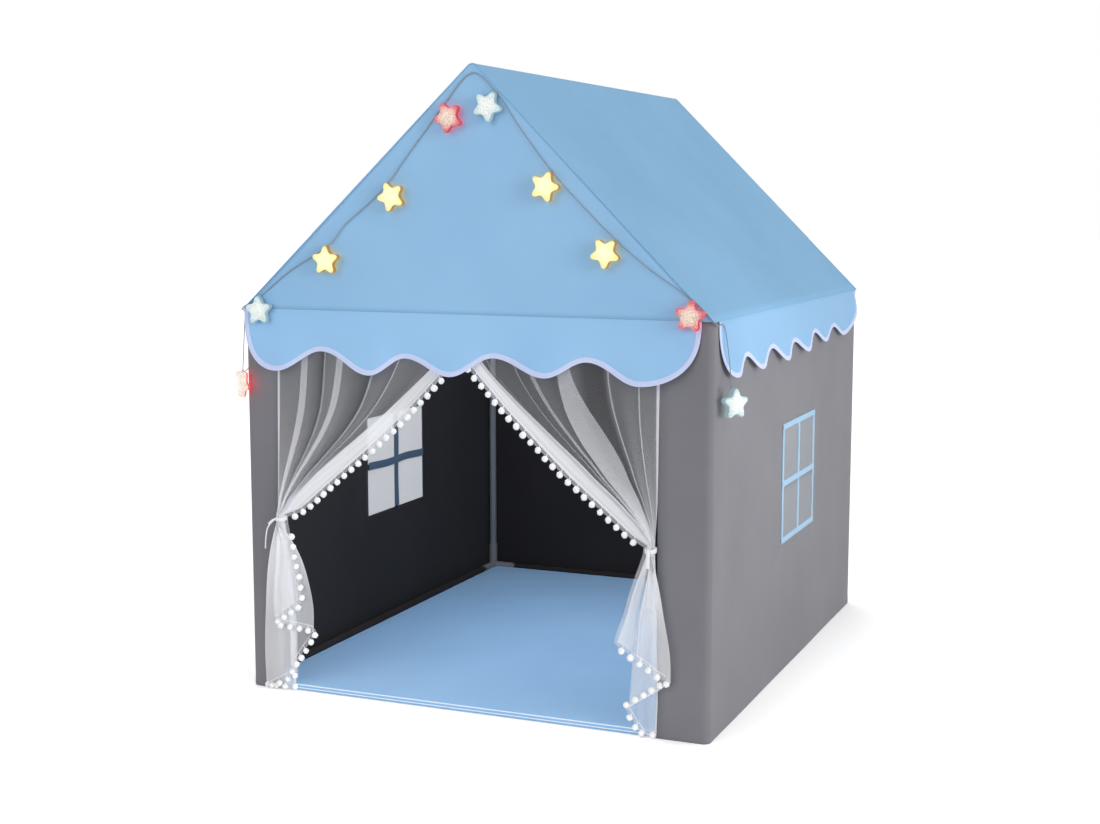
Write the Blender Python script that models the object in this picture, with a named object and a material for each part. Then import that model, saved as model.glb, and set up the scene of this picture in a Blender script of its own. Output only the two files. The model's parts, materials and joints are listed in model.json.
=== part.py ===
"""A kids' play tent: a tube frame, sewn cloth cover, curtains, floor mat and star lights.

Metres, +Z up. The origin is on the floor under the middle of the tent. The doorway
faces -Y, the ridge runs along Y, and the right-hand side wall is at +X.
"""
import math

import bmesh
import bpy
from mathutils import Matrix, Vector

# Whole tent
tent_width = 1.040              # across the outside of the side walls
tent_depth = 1.240              # across the outside of the front and back walls
eave_height = 0.825             # floor to the seam between walls and roof
ridge_height = 1.320            # floor to the top of the ridge
ridge_shift = 0.0205            # the ridge stands this far to the right of the middle
cloth = 0.0016                  # wall, roof and valance cloth with its lining
clearance = 0.0003              # gap between pieces that touch

# Tubes and the fittings that join them
tube_radius = 0.0095
tube_wall = 0.0015
hub_radius = 0.0125             # ball at the middle of each fitting
socket_radius = 0.0119
socket_reach = 0.062            # hub centre to the mouth of a socket
tube_stop = 0.030               # hub centre to the end of the tube in its socket
socket_lap = 0.002              # overrun of a bore past the mouth of its socket
socket_twist = math.radians(7)  # turns each socket's facets clear of its neighbours'
hub_tilt = math.radians(11)

# Doorway and windows
left_jamb = 0.078               # width of the wall panel left of the doorway
right_jamb = 0.108              # width of the wall panel right of the doorway
left_window_width = 0.320       # over the trim
right_window_width = 0.290
window_height = 0.270           # over the trim
window_middle_y = 0.050
left_window_z = 0.402           # floor to the middle of the window
right_window_z = 0.430
trim_width = 0.014
trim_thickness = 0.0016
net_thickness = 0.0006

# Scalloped valances
lobe_depth = 0.126              # seam to the lowest point of a lobe
crest_depth = 0.083             # seam to the notch between two lobes
end_valance_left = 0.518        # middle to the left end of the front valance
end_valance_right = 0.496
end_lobe_pitch = 0.2025
end_lobe_shift = 0.022          # the front lobes are sewn off centre by this much
end_flare = 0.024               # how far the lobes stand off the front and back walls
side_valance_half = 0.588
side_lobe_pitch = 0.187
side_lobe_shift = 0.0225
side_flare = 0.012

# Floor mat
mat_thickness = 0.0140
mat_crown = 0.0025
mat_corner = 0.020
mat_cord = 0.0016               # how far the piped edges stand out of the mat's side

# Curtains
curtain_cloth = 0.0016
curtain_meet_drop = 0.068       # eave to where the two leading edges part at the middle
knot_height = 0.380
knot_inset = 0.008              # knot centre to the outer hem, across the doorway
knot_half_width = 0.014
knot_half_depth = 0.009
knot_room = 0.002               # how far the gathered part runs on past the tie
hem_gap = 0.002                 # outer hem to the edge of the jamb
head_ripple = 0.0014            # depth of the folds where the curtain hangs
tail_out = 0.052                # reach of the tail's hem beyond the knot, over the jamb
tail_in = 0.076                 # reach of the tail's hem into the doorway
tail_ripple = 0.008
tail_hem = 0.006                # height of the lowest point of the tail
tail_rise = 0.140               # how much higher the inner end of the hem lies
tie_width = 0.016
tie_thickness = 0.0014

# Star lights
star_radius = 0.035
star_waist = 0.0185             # centre to the inner corners
star_thickness = 0.016
star_edge = 0.0024              # rounding of the front edge, and bevel of the back one
star_edge_mid = 0.0007          # inset and depth of the middle of the front rounding
star_dome = 0.0008              # rise of the front face to its middle
star_tip_round = 0.0030
star_hold = 0.0030              # tip to the point where the star is clipped on
cord_radius = 0.0012

# Battery case of the star lights
case_width = 0.036
case_height = 0.066
case_depth = 0.0180
case_split = 0.0108             # back of the case to the joint with its cover
case_round = 0.0030
case_setback = 0.220            # front of the tent to the middle of the case
case_drop = 0.0695              # lowest point of the valance's lobes to the top of the case
gland_length = 0.006
gland_radius = 0.0030
slot_length = 0.011
slot_width = 0.0042
slot_depth = 0.0016
knob_length = 0.0054
knob_stand = 0.0016
screw_radius = 0.0030
screw_sink = 0.0010

# How finely round things are drawn
tube_sides = 12
hub_sides = 16
hub_rings = 8
arc_steps = 4
valance_rows = 3
lobe_steps = 8
curtain_folds = 5
steps_per_fold = 5
drape_rows = 10
tail_rows = 8
cord_steps = 2

# Worked out from the sizes above
corner_radius = hub_radius + clearance + cloth
post_x = tent_width / 2 - corner_radius
post_y = tent_depth / 2 - corner_radius
side_face = tent_width / 2 + clearance + cloth
end_face = tent_depth / 2 + clearance + cloth
ridge_z = ridge_height - corner_radius
roof_reach = {"left": side_face + ridge_shift, "right": side_face - ridge_shift}
slopes = {side: math.atan2(ridge_z - eave_height, reach)
          + math.asin(corner_radius / math.hypot(reach, ridge_z - eave_height))
          for side, reach in roof_reach.items()}
eave_z = min(eave_height + (side_face - post_x) * math.tan(slope)
             - corner_radius / math.cos(slope) for slope in slopes.values())
floor_z = hub_radius
wall_top = eave_height - cloth - clearance
side_valance_top = eave_height - cloth * math.cos(min(slopes.values())) - clearance
curtain_meet_height = eave_height - curtain_meet_drop
case_y = case_setback - tent_depth / 2
case_bottom = side_valance_top - lobe_depth - case_drop - case_height
door_left = -tent_width / 2 + left_jamb
door_right = tent_width / 2 - right_jamb

for thing in list(bpy.data.objects):
    bpy.data.objects.remove(thing, do_unlink=True)


def finish(name, colour, roughness, metallic=0.0, alpha=1.0):
    """A plain Principled BSDF material; colour is sRGB 0..255."""
    material = bpy.data.materials.new(name)
    material.use_nodes = True
    shader = material.node_tree.nodes["Principled BSDF"]
    linear = [((c / 255 + 0.055) / 1.055) ** 2.4 for c in colour]
    shader.inputs["Base Color"].default_value = (*linear, 1.0)
    shader.inputs["Roughness"].default_value = roughness
    shader.inputs["Metallic"].default_value = metallic
    shader.inputs["Alpha"].default_value = alpha
    return material


roof_blue = finish("roof cloth", (141, 184, 219), 0.75)
wall_grey = finish("wall cloth", (121, 121, 126), 0.80)
trim_blue = finish("window trim", (150, 190, 220), 0.70)
mat_blue = finish("mat cloth", (128, 172, 214), 0.70)
tulle_white = finish("tulle", (244, 244, 248), 0.85, alpha=0.6)
ribbon_white = finish("ribbon", (250, 250, 252), 0.60)
tube_white = finish("tube plastic", (196, 198, 202), 0.40)
fitting_grey = finish("fitting plastic", (210, 212, 216), 0.45)
case_white = finish("case plastic", (238, 238, 236), 0.35)
cord_clear = finish("cord", (150, 152, 156), 0.35)
star_colours = {
    "red": finish("star red", (247, 120, 116), 0.25),
    "ice": finish("star ice", (214, 240, 246), 0.25),
    "yellow": finish("star yellow", (252, 238, 150), 0.25),
}


def new_object(name, bm, material, smooth=False):
    """Turns a bmesh into a named object with its faces pointing out."""
    bmesh.ops.recalc_face_normals(bm, faces=bm.faces)
    mesh = bpy.data.meshes.new(name)
    bm.to_mesh(mesh)
    bm.free()
    mesh.materials.append(material)
    if smooth:
        mesh.shade_smooth()
        mesh.set_sharp_from_angle(angle=math.radians(35))
    thing = bpy.data.objects.new(name, mesh)
    bpy.context.collection.objects.link(thing)
    return thing


def extrude_all(bm, vector):
    """Extrudes every face along the vector, which closes an open sheet into a solid."""
    moved = bmesh.ops.extrude_face_region(bm, geom=bm.faces[:])["geom"]
    verts = [item for item in moved if isinstance(item, bmesh.types.BMVert)]
    bmesh.ops.translate(bm, verts=verts, vec=vector)


def extruded_outline(name, points, vector, material, smooth=False):
    """A flat outline, extruded along the vector."""
    bm = bmesh.new()
    bm.faces.new([bm.verts.new(point) for point in points])
    extrude_all(bm, vector)
    return new_object(name, bm, material, smooth)


def extruded_grid(name, rows, vector, material, smooth=True):
    """A sheet given as rows of points, extruded along the vector."""
    bm = bmesh.new()
    grid = [[bm.verts.new(point) for point in row] for row in rows]
    for low, high in zip(grid, grid[1:]):
        for a, b, c, d in zip(low, low[1:], high[1:], high):
            bm.faces.new((a, b, c, d))
    extrude_all(bm, vector)
    return new_object(name, bm, material, smooth)


def box_mesh(size):
    """A box of the given size, centred on the origin."""
    bm = bmesh.new()
    bmesh.ops.create_cube(bm, size=1.0)
    bmesh.ops.scale(bm, vec=size, verts=bm.verts)
    return bm


def rounded_box(name, size, radius, material, segments=2):
    """A box with all its edges rounded, centred on the origin."""
    bm = box_mesh(size)
    bmesh.ops.bevel(bm, geom=bm.edges[:], offset=radius, segments=segments, profile=0.5,
                    affect="EDGES")
    return new_object(name, bm, material, True)


def make_cutter(thing):
    """Marks an object as a cutter, which isn't part of the tent."""
    thing.hide_render = True
    thing.display_type = "WIRE"
    return thing


def cut(thing, cutter, operation="DIFFERENCE"):
    """Adds a Boolean of the cutter to the object."""
    step = thing.modifiers.new(cutter.name, "BOOLEAN")
    step.object = make_cutter(cutter)
    step.operation = operation
    step.solver = "EXACT"
    step.use_self = operation == "UNION"


def arc(centre, radius, start, end, steps=arc_steps):
    """Points on an arc in a plane; angles in radians."""
    angles = [start + (end - start) * i / steps for i in range(steps + 1)]
    return [(centre[0] + radius * math.cos(a), centre[1] + radius * math.sin(a)) for a in angles]


def turn_to(direction):
    """The rotation that turns +Z to the direction."""
    return Vector((0, 0, 1)).rotation_difference(Vector(direction)).to_matrix().to_4x4()


# Tube frame


def tube(name, start, end):
    """A hollow tube between two hub centres, each end stopped inside its socket."""
    start = Vector(start)
    end = Vector(end)
    along = (end - start).normalized()
    length = (end - start).length - 2 * tube_stop
    bm = bmesh.new()
    inner = tube_radius - tube_wall
    profile = [(inner, 0), (tube_radius, 0), (tube_radius, length), (inner, length)]
    verts = [bm.verts.new((r, 0, z)) for r, z in profile]
    edges = [bm.edges.new((a, b)) for a, b in zip(verts, verts[1:] + verts[:1])]
    bmesh.ops.spin(bm, geom=verts + edges, axis=(0, 0, 1), cent=(0, 0, 0), angle=math.tau,
                   steps=tube_sides, use_merge=True)
    thing = new_object(name, bm, tube_white, True)
    thing.location = start + along * tube_stop
    thing.rotation_euler = turn_to(along).to_euler()
    return thing


def rods(name, directions, radius, start, end, twist=0.0):
    """Plain round rods from one centre, all in one mesh, each turned a little further."""
    bm = bmesh.new()
    for i, direction in enumerate(directions):
        rod = bmesh.ops.create_cone(bm, cap_ends=True, segments=tube_sides, radius1=radius,
                                    radius2=radius, depth=end - start)["verts"]
        place = (turn_to(direction) @ Matrix.Rotation(twist * (i + 1), 4, "Z")
                 @ Matrix.Translation((0, 0, (start + end) / 2)))
        bmesh.ops.transform(bm, matrix=place, verts=rod)
    return new_object(name, bm, fitting_grey)


def fitting(name, centre, directions):
    """A moulded fitting: a ball hub with a blind socket for each tube."""
    bm = bmesh.new()
    bmesh.ops.create_uvsphere(bm, u_segments=hub_sides, v_segments=hub_rings, radius=hub_radius)
    bmesh.ops.rotate(bm, verts=bm.verts, matrix=Matrix.Rotation(hub_tilt, 3, (1, 2, 3)))
    hub = new_object(name, bm, fitting_grey, True)
    directions = [Vector(d).normalized() for d in directions]
    sockets = rods(name + "_sockets", directions, socket_radius, 0, socket_reach, socket_twist)
    bores = rods(name + "_bores", directions, tube_radius + clearance, tube_stop - clearance,
                 socket_reach + socket_lap)
    cut(hub, sockets, "UNION")
    cut(hub, bores)
    for thing in (hub, sockets, bores):
        thing.location = centre
    return hub


def frame():
    """Posts, rails, rafters and the ridge, with the fittings that join them."""
    for side, x in (("left", -post_x), ("right", post_x)):
        inward = math.copysign(1, -x)
        rafter = (ridge_shift - x, 0, ridge_z - eave_z)
        for end, y in (("front", -post_y), ("back", post_y)):
            back = math.copysign(1, -y)
            foot = (x, y, floor_z)
            eave = (x, y, eave_z)
            tube(f"post_{end}_{side}", foot, eave)
            tube(f"rafter_{end}_{side}", eave, (ridge_shift, y, ridge_z))
            ways = [(0, 0, 1), (0, back, 0)]
            if end == "back":
                ways.append((inward, 0, 0))
            fitting(f"corner_fitting_{end}_{side}", foot, ways)
            fitting(f"eave_fitting_{end}_{side}", eave,
                    [(0, 0, -1), (0, back, 0), (inward, 0, 0), rafter])
        tube(f"floor_rail_{side}", (x, -post_y, floor_z), (x, post_y, floor_z))
        tube(f"eave_rail_{side}", (x, -post_y, eave_z), (x, post_y, eave_z))
    tube("floor_rail_back", (-post_x, post_y, floor_z), (post_x, post_y, floor_z))
    for end, y in (("front", -post_y), ("back", post_y)):
        tube(f"eave_rail_{end}", (-post_x, y, eave_z), (post_x, y, eave_z))
        falls = [(x - ridge_shift, 0, eave_z - ridge_z) for x in (-post_x, post_x)]
        fitting(f"ridge_fitting_{end}", (ridge_shift, y, ridge_z),
                falls + [(0, math.copysign(1, -y), 0)])
    tube("ridge_tube", (ridge_shift, -post_y, ridge_z), (ridge_shift, post_y, ridge_z))


# Walls


def corner_strip(x_sign, y_sign):
    """Outer and inner points of a wall's rounded corner, from the side wall's seam on."""
    centre = (x_sign * post_x, y_sign * post_y)
    start = 0.0 if x_sign > 0 else math.pi
    turn = math.pi / 2 * x_sign * y_sign
    outer = arc(centre, corner_radius, start, start + turn)
    inner = arc(centre, corner_radius - cloth, start, start + turn)
    return outer, inner


def wall_strip(name, outer, inner):
    """A wall panel: its outline seen from above, extruded up from the floor."""
    outline = [(x, y, 0) for x, y in outer + inner[::-1]]
    return extruded_outline(name, outline, (0, 0, wall_top), wall_grey)


def end_walls():
    """The back wall and the two panels beside the doorway, each with its rounded corner."""
    outer_left, inner_left = corner_strip(-1, 1)
    outer_right, inner_right = corner_strip(1, 1)
    wall_strip("wall_back", outer_left + outer_right[::-1], inner_left + inner_right[::-1])
    front = -tent_depth / 2
    for side, sign, edge in (("left", -1, door_left), ("right", 1, door_right)):
        outer, inner = corner_strip(sign, -1)
        wall_strip(f"wall_front_{side}", outer + [(edge, front)], inner + [(edge, front + cloth)])


def light_cutters(name, width, middle_z, x_middle, x_size):
    """Four blocks, one through each pane of a window."""
    wide = (width - 3 * trim_width) / 2
    tall = (window_height - 3 * trim_width) / 2
    step_y = (wide + trim_width) / 2
    step_z = (tall + trim_width) / 2
    bm = bmesh.new()
    for y, z in [(window_middle_y + sy * step_y, middle_z + sz * step_z)
                 for sy in (-1, 1) for sz in (-1, 1)]:
        block = bmesh.ops.create_cube(bm, size=1.0)["verts"]
        bmesh.ops.scale(bm, vec=(x_size, wide, tall), verts=block)
        bmesh.ops.translate(bm, vec=(x_middle, y, z), verts=block)
    return new_object(name, bm, wall_grey)


def side_walls():
    """Each side wall with its four window lights, and the trimmed net sewn over them."""
    run = post_y - clearance
    for side, sign, width, middle_z in (("left", -1, left_window_width, left_window_z),
                                        ("right", 1, right_window_width, right_window_z)):
        face = sign * tent_width / 2
        corners = [(face, -run, 0), (face, run, 0), (face, run, wall_top), (face, -run, wall_top)]
        wall = extruded_outline(f"wall_{side}", corners, (-sign * cloth, 0, 0), wall_grey)
        cut(wall, light_cutters(f"wall_{side}_lights", width, middle_z, face, 4 * cloth))
        back = face + sign * clearance
        front = back + sign * trim_thickness
        half_w = width / 2
        half_h = window_height / 2
        outline = [(back, window_middle_y + y * half_w, middle_z + z * half_h)
                   for y, z in ((-1, -1), (1, -1), (1, 1), (-1, 1))]
        trim = extruded_outline(f"window_{side}", outline, (front - back, 0, 0), trim_blue)
        pocket = back + sign * net_thickness
        cut(trim, light_cutters(f"window_{side}_pockets", width, middle_z,
                                pocket + sign * trim_thickness, 2 * trim_thickness))


# Roof


def roof_halves():
    """The roof cloth: two slopes that meet in a seam on top of the rounded ridge."""
    for side, sign in (("left", -1), ("right", 1)):
        slope, reach = slopes[side], roof_reach[side]
        steep = math.pi / 2 - slope
        seam = math.pi / 2 - math.asin(clearance / 2 / corner_radius)
        outer = [(reach, eave_height)] + arc((0, ridge_z), corner_radius, steep, seam)
        inner = [(reach - cloth * math.sin(slope), eave_height - cloth * math.cos(slope))]
        inner += arc((0, ridge_z), corner_radius - cloth, steep, seam)
        outline = [(ridge_shift + sign * x, -end_face, z) for x, z in outer + inner[::-1]]
        extruded_outline(f"roof_{side}", outline, (0, 2 * end_face, 0), roof_blue)


def gables():
    """The triangular ends, which fill the roof's inner outline."""
    inset = cloth + clearance
    feet = {side: reach - inset / math.sin(slopes[side]) for side, reach in roof_reach.items()}
    crown = arc((ridge_shift, ridge_z), corner_radius - inset, math.pi / 2 - slopes["right"],
                math.pi / 2 + slopes["left"], 2 * arc_steps)
    section = [(ridge_shift - feet["left"], eave_height),
               (ridge_shift + feet["right"], eave_height)] + crown
    for end, y in (("front", -end_face), ("back", end_face - cloth)):
        outline = [(x, y, z) for x, z in section]
        extruded_outline(f"gable_{end}", outline, (0, cloth, 0), roof_blue)


def scallops(low_half, high_half, pitch, shift, count):
    """Columns of a scalloped valance, as places along it and depths below its seam."""
    first = -pitch * (count - 1) / 2 - shift
    last = first + pitch * (count - 1)
    middle = (lobe_depth + crest_depth) / 2
    swing = (lobe_depth - crest_depth) / 2
    round_share = 0.72
    steep_shares = [i / lobe_steps for i in range(lobe_steps)]
    columns = []
    for share in steep_shares:
        angle = math.radians(86) * (1 - share)
        columns.append((first - (first + low_half) * math.sin(angle),
                        lobe_depth * math.cos(angle) ** round_share))
    steps = lobe_steps * (count - 1)
    for i in range(steps + 1):
        place = first + (last - first) * i / steps
        turn = math.tau * i / lobe_steps
        columns.append((place, middle + swing * math.cos(turn)))
    for share in steep_shares[::-1]:
        angle = math.radians(86) * (1 - share)
        columns.append((last + (high_half - last) * math.sin(angle),
                        lobe_depth * math.cos(angle) ** round_share))
    return columns


def valance_rows_of(columns, flare):
    """Rows of (place, stand-off, drop): the lobes stand off more the lower they hang."""
    rows = []
    for i in range(valance_rows + 1):
        drops = [(place, depth * i / valance_rows) for place, depth in columns]
        rows.append([(place, flare * (drop / lobe_depth) ** 2, drop) for place, drop in drops])
    return rows


def valances():
    """The scalloped flaps that hang from the seam all round the roof."""
    columns = scallops(end_valance_left, end_valance_right, end_lobe_pitch, end_lobe_shift, 5)
    rows = valance_rows_of(columns, end_flare)
    for end, sign in (("front", -1), ("back", 1)):
        points = [[(-sign * place, sign * off, -drop) for place, off, drop in row] for row in rows]
        flap = extruded_grid(f"valance_{end}", points, (0, -sign * cloth, 0), roof_blue)
        flap.location = (0, sign * end_face, eave_height - clearance)
    columns = scallops(side_valance_half, side_valance_half, side_lobe_pitch,
                       -side_lobe_shift, 6)
    rows = valance_rows_of(columns, side_flare)
    for side, sign in (("left", -1), ("right", 1)):
        points = [[(sign * off, place, -drop) for place, off, drop in row] for row in rows]
        flap = extruded_grid(f"valance_{side}", points, (-sign * cloth, 0, 0), roof_blue)
        flap.location = (sign * side_face, 0, side_valance_top)


# Floor mat


def mat_outline(half_x, low_y, high_y, inset, z):
    """A rounded rectangle at one height of the mat."""
    radius = mat_corner
    points = []
    for corner, (sx, y) in enumerate(((1, low_y), (1, high_y), (-1, high_y), (-1, low_y))):
        sy = -1 if y == low_y else 1
        centre = (sx * (half_x - radius), y - sy * radius)
        start = -math.pi / 2 + corner * math.pi / 2
        for x, y_point in arc(centre, radius - inset, start, start + math.pi / 2, 3):
            points.append((x, y_point, z))
    return points


def floor_mat():
    """A padded mat with a piped edge top and bottom and a low crown."""
    half_x = post_x - hub_radius - clearance
    low_y = -(tent_depth / 2 - cloth - clearance)
    high_y = post_y - hub_radius - clearance
    side_shares = [(1.0, 0.0), (0.0, 0.14), (1.0, 0.32), (1.0, 0.68), (0.0, 0.86), (1.3, 1.0)]
    rings = [(mat_cord * share, mat_thickness * height) for share, height in side_shares]
    bm = bmesh.new()
    loops = []
    for inset, z in rings:
        points = mat_outline(half_x, low_y, high_y, inset, z)
        loops.append([bm.verts.new(point) for point in points])
    middle_y = (low_y + high_y) / 2
    for reach_share in (0.86, 0.55):
        rise = mat_crown * (1 - reach_share ** 4)
        points = mat_outline(half_x, low_y, high_y, mat_cord, mat_thickness + rise)
        loops.append([bm.verts.new((x * reach_share, middle_y + (y - middle_y) * reach_share, z))
                      for x, y, z in points])
    for low, high in zip(loops, loops[1:]):
        for a, b, c, d in zip(low, low[1:] + low[:1], high[1:] + high[:1], high):
            bm.faces.new((a, b, c, d))
    bm.faces.new(loops[0][::-1])
    top = bm.verts.new((0, middle_y, mat_thickness + mat_crown))
    for a, b in zip(loops[-1], loops[-1][1:] + loops[-1][:1]):
        bm.faces.new((a, b, top))
    new_object("floor_mat", bm, mat_blue)


# Curtains


def ease(share):
    """Runs from 0 to 1 with a level start and end."""
    return share * share * (3 - 2 * share)


def mix(a, b, share):
    """A value part of the way from a to b."""
    return a + (b - a) * share


def curtain(side, edge):
    """One curtain: pleats that fan from the eave rail to the knot, and the tail below it."""
    inward = 1 if side == "left" else -1
    hem_x = edge + inward * hem_gap
    knot_x = hem_x + inward * knot_inset
    head_z = eave_z
    head_y = -(post_y + tube_radius + clearance + head_ripple + curtain_cloth)
    knot_y = -(tent_depth / 2 + 2 * clearance + tie_thickness + knot_half_depth + curtain_cloth)
    knot_top = knot_height + tie_width / 2 + knot_room
    knot_foot = knot_height - tie_width / 2 - knot_room
    columns = curtain_folds * steps_per_fold
    rows = []
    for i in range(drape_rows + 1):
        down = i / drape_rows
        z = mix(head_z, knot_top, down)
        fall = max(0.0, (curtain_meet_height - z) / (curtain_meet_height - knot_top))
        lead_x = mix(-inward * clearance, knot_x + inward * knot_half_width, fall)
        gather = ease(max(0.0, (down - 0.55) / 0.45))
        outer_x = mix(hem_x, knot_x - inward * knot_half_width, gather)
        ripple = mix(head_ripple, knot_half_depth, down ** 2)
        y_middle = mix(head_y, knot_y, ease(down ** 0.8))
        rows.append(fold_row(outer_x, lead_x, y_middle, ripple, [z] * (columns + 1), down))
    for i in range(tail_rows + 1):
        down = i / tail_rows
        spread = ease(min(1.0, down * 1.15)) ** 0.9
        outer_x = mix(knot_x - inward * knot_half_width, knot_x - inward * tail_out, spread)
        lead_x = mix(knot_x + inward * knot_half_width, knot_x + inward * tail_in, spread)
        ripple = mix(knot_half_depth, tail_ripple, spread)
        heights = []
        for j in range(columns + 1):
            hem = tail_hem + tail_rise * (j / columns) ** 1.5
            heights.append(mix(knot_foot, hem, down))
        rows.append(fold_row(outer_x, lead_x, knot_y, ripple, heights, 1.0))
    return extruded_grid(f"curtain_{side}", rows, (0, curtain_cloth, 0), tulle_white)


def fold_row(outer_x, lead_x, y_middle, ripple, heights, bunch):
    """One level of a pleated curtain, from the outer hem to the leading edge."""
    columns = len(heights) - 1
    row = []
    for j, z in enumerate(heights):
        share = j / columns
        place = share + 0.02 * bunch * math.sin(math.tau * 2 * share)
        wave = math.sin(math.tau * curtain_folds * share)
        end_share = 1 - 0.45 * bunch * (2 * share - 1) ** 4
        row.append((mix(outer_x, lead_x, place), y_middle + ripple * wave * end_share, z))
    return row


def tie_back(side, edge):
    """A flat ribbon loop round the gathered curtain, sewn to the edge of the jamb."""
    inward = 1 if side == "left" else -1
    middle_x = edge + inward * (hem_gap + knot_inset)
    middle_y = -(tent_depth / 2 + 2 * clearance + tie_thickness + knot_half_depth
                 + curtain_cloth / 2)
    inner_x = knot_half_width + clearance + curtain_cloth
    inner_y = knot_half_depth + curtain_cloth / 2 + clearance
    steps = 20
    loops = []
    bm = bmesh.new()
    for thick, z in ((0, -1), (1, -1), (1, 1), (0, 1)):
        loop = []
        for i in range(steps):
            angle = math.tau * i / steps
            x = math.copysign(abs(math.cos(angle)) ** 0.6, math.cos(angle))
            y = math.copysign(abs(math.sin(angle)) ** 0.6, math.sin(angle))
            loop.append(bm.verts.new((middle_x + x * (inner_x + thick * tie_thickness),
                                      middle_y + y * (inner_y + thick * tie_thickness),
                                      knot_height + z * tie_width / 2)))
        loops.append(loop)
    for low, high in zip(loops, loops[1:] + loops[:1]):
        for a, b, c, d in zip(low, low[1:] + low[:1], high[1:] + high[:1], high):
            bm.faces.new((a, b, c, d))
    new_object(f"curtain_tie_{side}", bm, ribbon_white, True)


# Star lights

gable_y = -(end_face + clearance + cord_radius)
star_back = cord_radius + clearance

# Clip point of each star on the gable, as shares of its half width from the line between
# the middle of its foot and its top, and of its rise, and the angle in degrees by which the
# star's clipped tip leans to the right of straight up.
gable_star_shares = [
    ("star_02", "ice", -0.918, 0.056, -3),
    ("star_03", "yellow", -0.607, 0.273, 0),
    ("star_04", "yellow", -0.344, 0.531, -24),
    ("star_05", "red", -0.111, 0.843, -27),
    ("star_06", "ice", 0.107, 0.881, 30),
    ("star_07", "yellow", 0.345, 0.571, 20),
    ("star_08", "yellow", 0.613, 0.305, 39),
    ("star_09", "red", 0.921, 0.082, 6),
]

# The cord's route from the battery case to the last star, chosen by hand. It climbs the
# left valance, dips behind the first star, follows both slopes of the gable, rounds the
# right corner and hangs down behind the last star.
cord_route = [
    (-0.5257, -0.4000, 0.6345), (-0.5278, -0.4000, 0.6560), (-0.5352, -0.4025, 0.6980),
    (-0.5350, -0.4080, 0.7450), (-0.5248, -0.4320, 0.8150), (-0.5282, -0.4720, 0.7890),
    (-0.5342, -0.5120, 0.7480), (-0.5372, -0.5520, 0.7120), (-0.5362, -0.5890, 0.6915),
    (-0.5334, -0.6094, 0.6900), (-0.5298, -0.6130, 0.7200), (-0.5264, -0.6125, 0.7750),
    (-0.5250, -0.6110, 0.8165), (-0.5238, -0.6236, 0.8235), (-0.5180, -0.6235, 0.8300),
    (-0.4762, -0.6234, 0.8527), (-0.4007, -0.6234, 0.9080), (-0.3100, -0.6234, 0.9601),
    (-0.2697, -0.6234, 1.0033), (-0.2175, -0.6234, 1.0440), (-0.1680, -0.6234, 1.0878),
    (-0.1361, -0.6234, 1.1282), (-0.0856, -0.6234, 1.1877), (-0.0404, -0.6234, 1.2423),
    (0.0205, -0.6234, 1.3010), (0.0737, -0.6234, 1.2611), (0.1224, -0.6234, 1.1935),
    (0.1911, -0.6234, 1.1076), (0.2510, -0.6234, 1.0453), (0.3250, -0.6234, 0.9760),
    (0.3975, -0.6234, 0.9190), (0.4806, -0.6234, 0.8656), (0.5180, -0.6235, 0.8300),
    (0.5240, -0.6236, 0.8235), (0.5252, -0.6080, 0.8180), (0.5246, -0.5740, 0.8180),
    (0.5256, -0.5600, 0.8040), (0.5318, -0.5600, 0.7650), (0.5372, -0.5625, 0.7230),
    (0.5399, -0.5645, 0.6890),
]

# First and last star: the cord's point behind them, the turn in degrees of the star's
# face from the front of the tent towards the right, and the lean of its clipped tip.
free_stars = [
    ("star_01", "red", (-0.5334, -0.6094, 0.6900), -38, -36),
    ("star_10", "ice", (0.5397, -0.5643, 0.6960), 58, 0),
]


def star(name, colour, cord_point, turn, lean):
    """A rounded five-pointed star, with its origin at the point where it is clipped on."""
    reach = star_radius - star_tip_round
    outline = []
    for i in range(5):
        tip = math.pi / 2 + math.tau * i / 5
        middle = Vector((math.cos(tip), math.sin(tip))) * reach
        for swing in (-2, -1, 0, 1, 2):
            angle = tip + swing * math.radians(28)
            outline.append(middle + Vector((math.cos(angle), math.sin(angle))) * star_tip_round)
        notch = tip + math.tau / 10
        outline.append(Vector((math.cos(notch), math.sin(notch))) * star_waist)
    layers = [(star_edge, 0.0), (0.0, star_edge), (0.0, star_thickness - star_edge),
              (star_edge_mid, star_thickness - star_edge_mid), (star_edge, star_thickness)]
    bm = bmesh.new()
    hold = Vector((0, star_hold - star_radius))
    spin = Matrix.Rotation(-math.radians(lean), 2)
    loops = []
    for inset, z in layers:
        scale = 1 - inset / star_waist
        flat = [spin @ (point * scale + hold) for point in outline]
        loops.append([bm.verts.new((p.x, p.y, star_back + z)) for p in flat])
    for low, high in zip(loops, loops[1:]):
        for a, b, c, d in zip(low, low[1:] + low[:1], high[1:] + high[:1], high):
            bm.faces.new((a, b, c, d))
    centre = spin @ hold
    for loop, z in ((loops[0], star_back),
                    (loops[-1], star_back + star_thickness + star_dome)):
        pole = bm.verts.new((centre.x, centre.y, z))
        for a, b in zip(loop, loop[1:] + loop[:1]):
            bm.faces.new((a, b, pole))
    thing = new_object(name, bm, star_colours[colour])
    thing.location = cord_point
    thing.rotation_euler = (math.pi / 2, 0, math.radians(turn))
    return thing


def stars():
    """All ten stars, those on the gable placed by its own half width and rise."""
    rise = ridge_height - eave_height
    for name, colour, across, up, lean in gable_star_shares:
        place = (up * ridge_shift + across * tent_width / 2, gable_y, eave_height + up * rise)
        star(name, colour, place, 0, lean)
    for name, colour, place, turn, lean in free_stars:
        star(name, colour, place, turn, lean)


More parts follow.
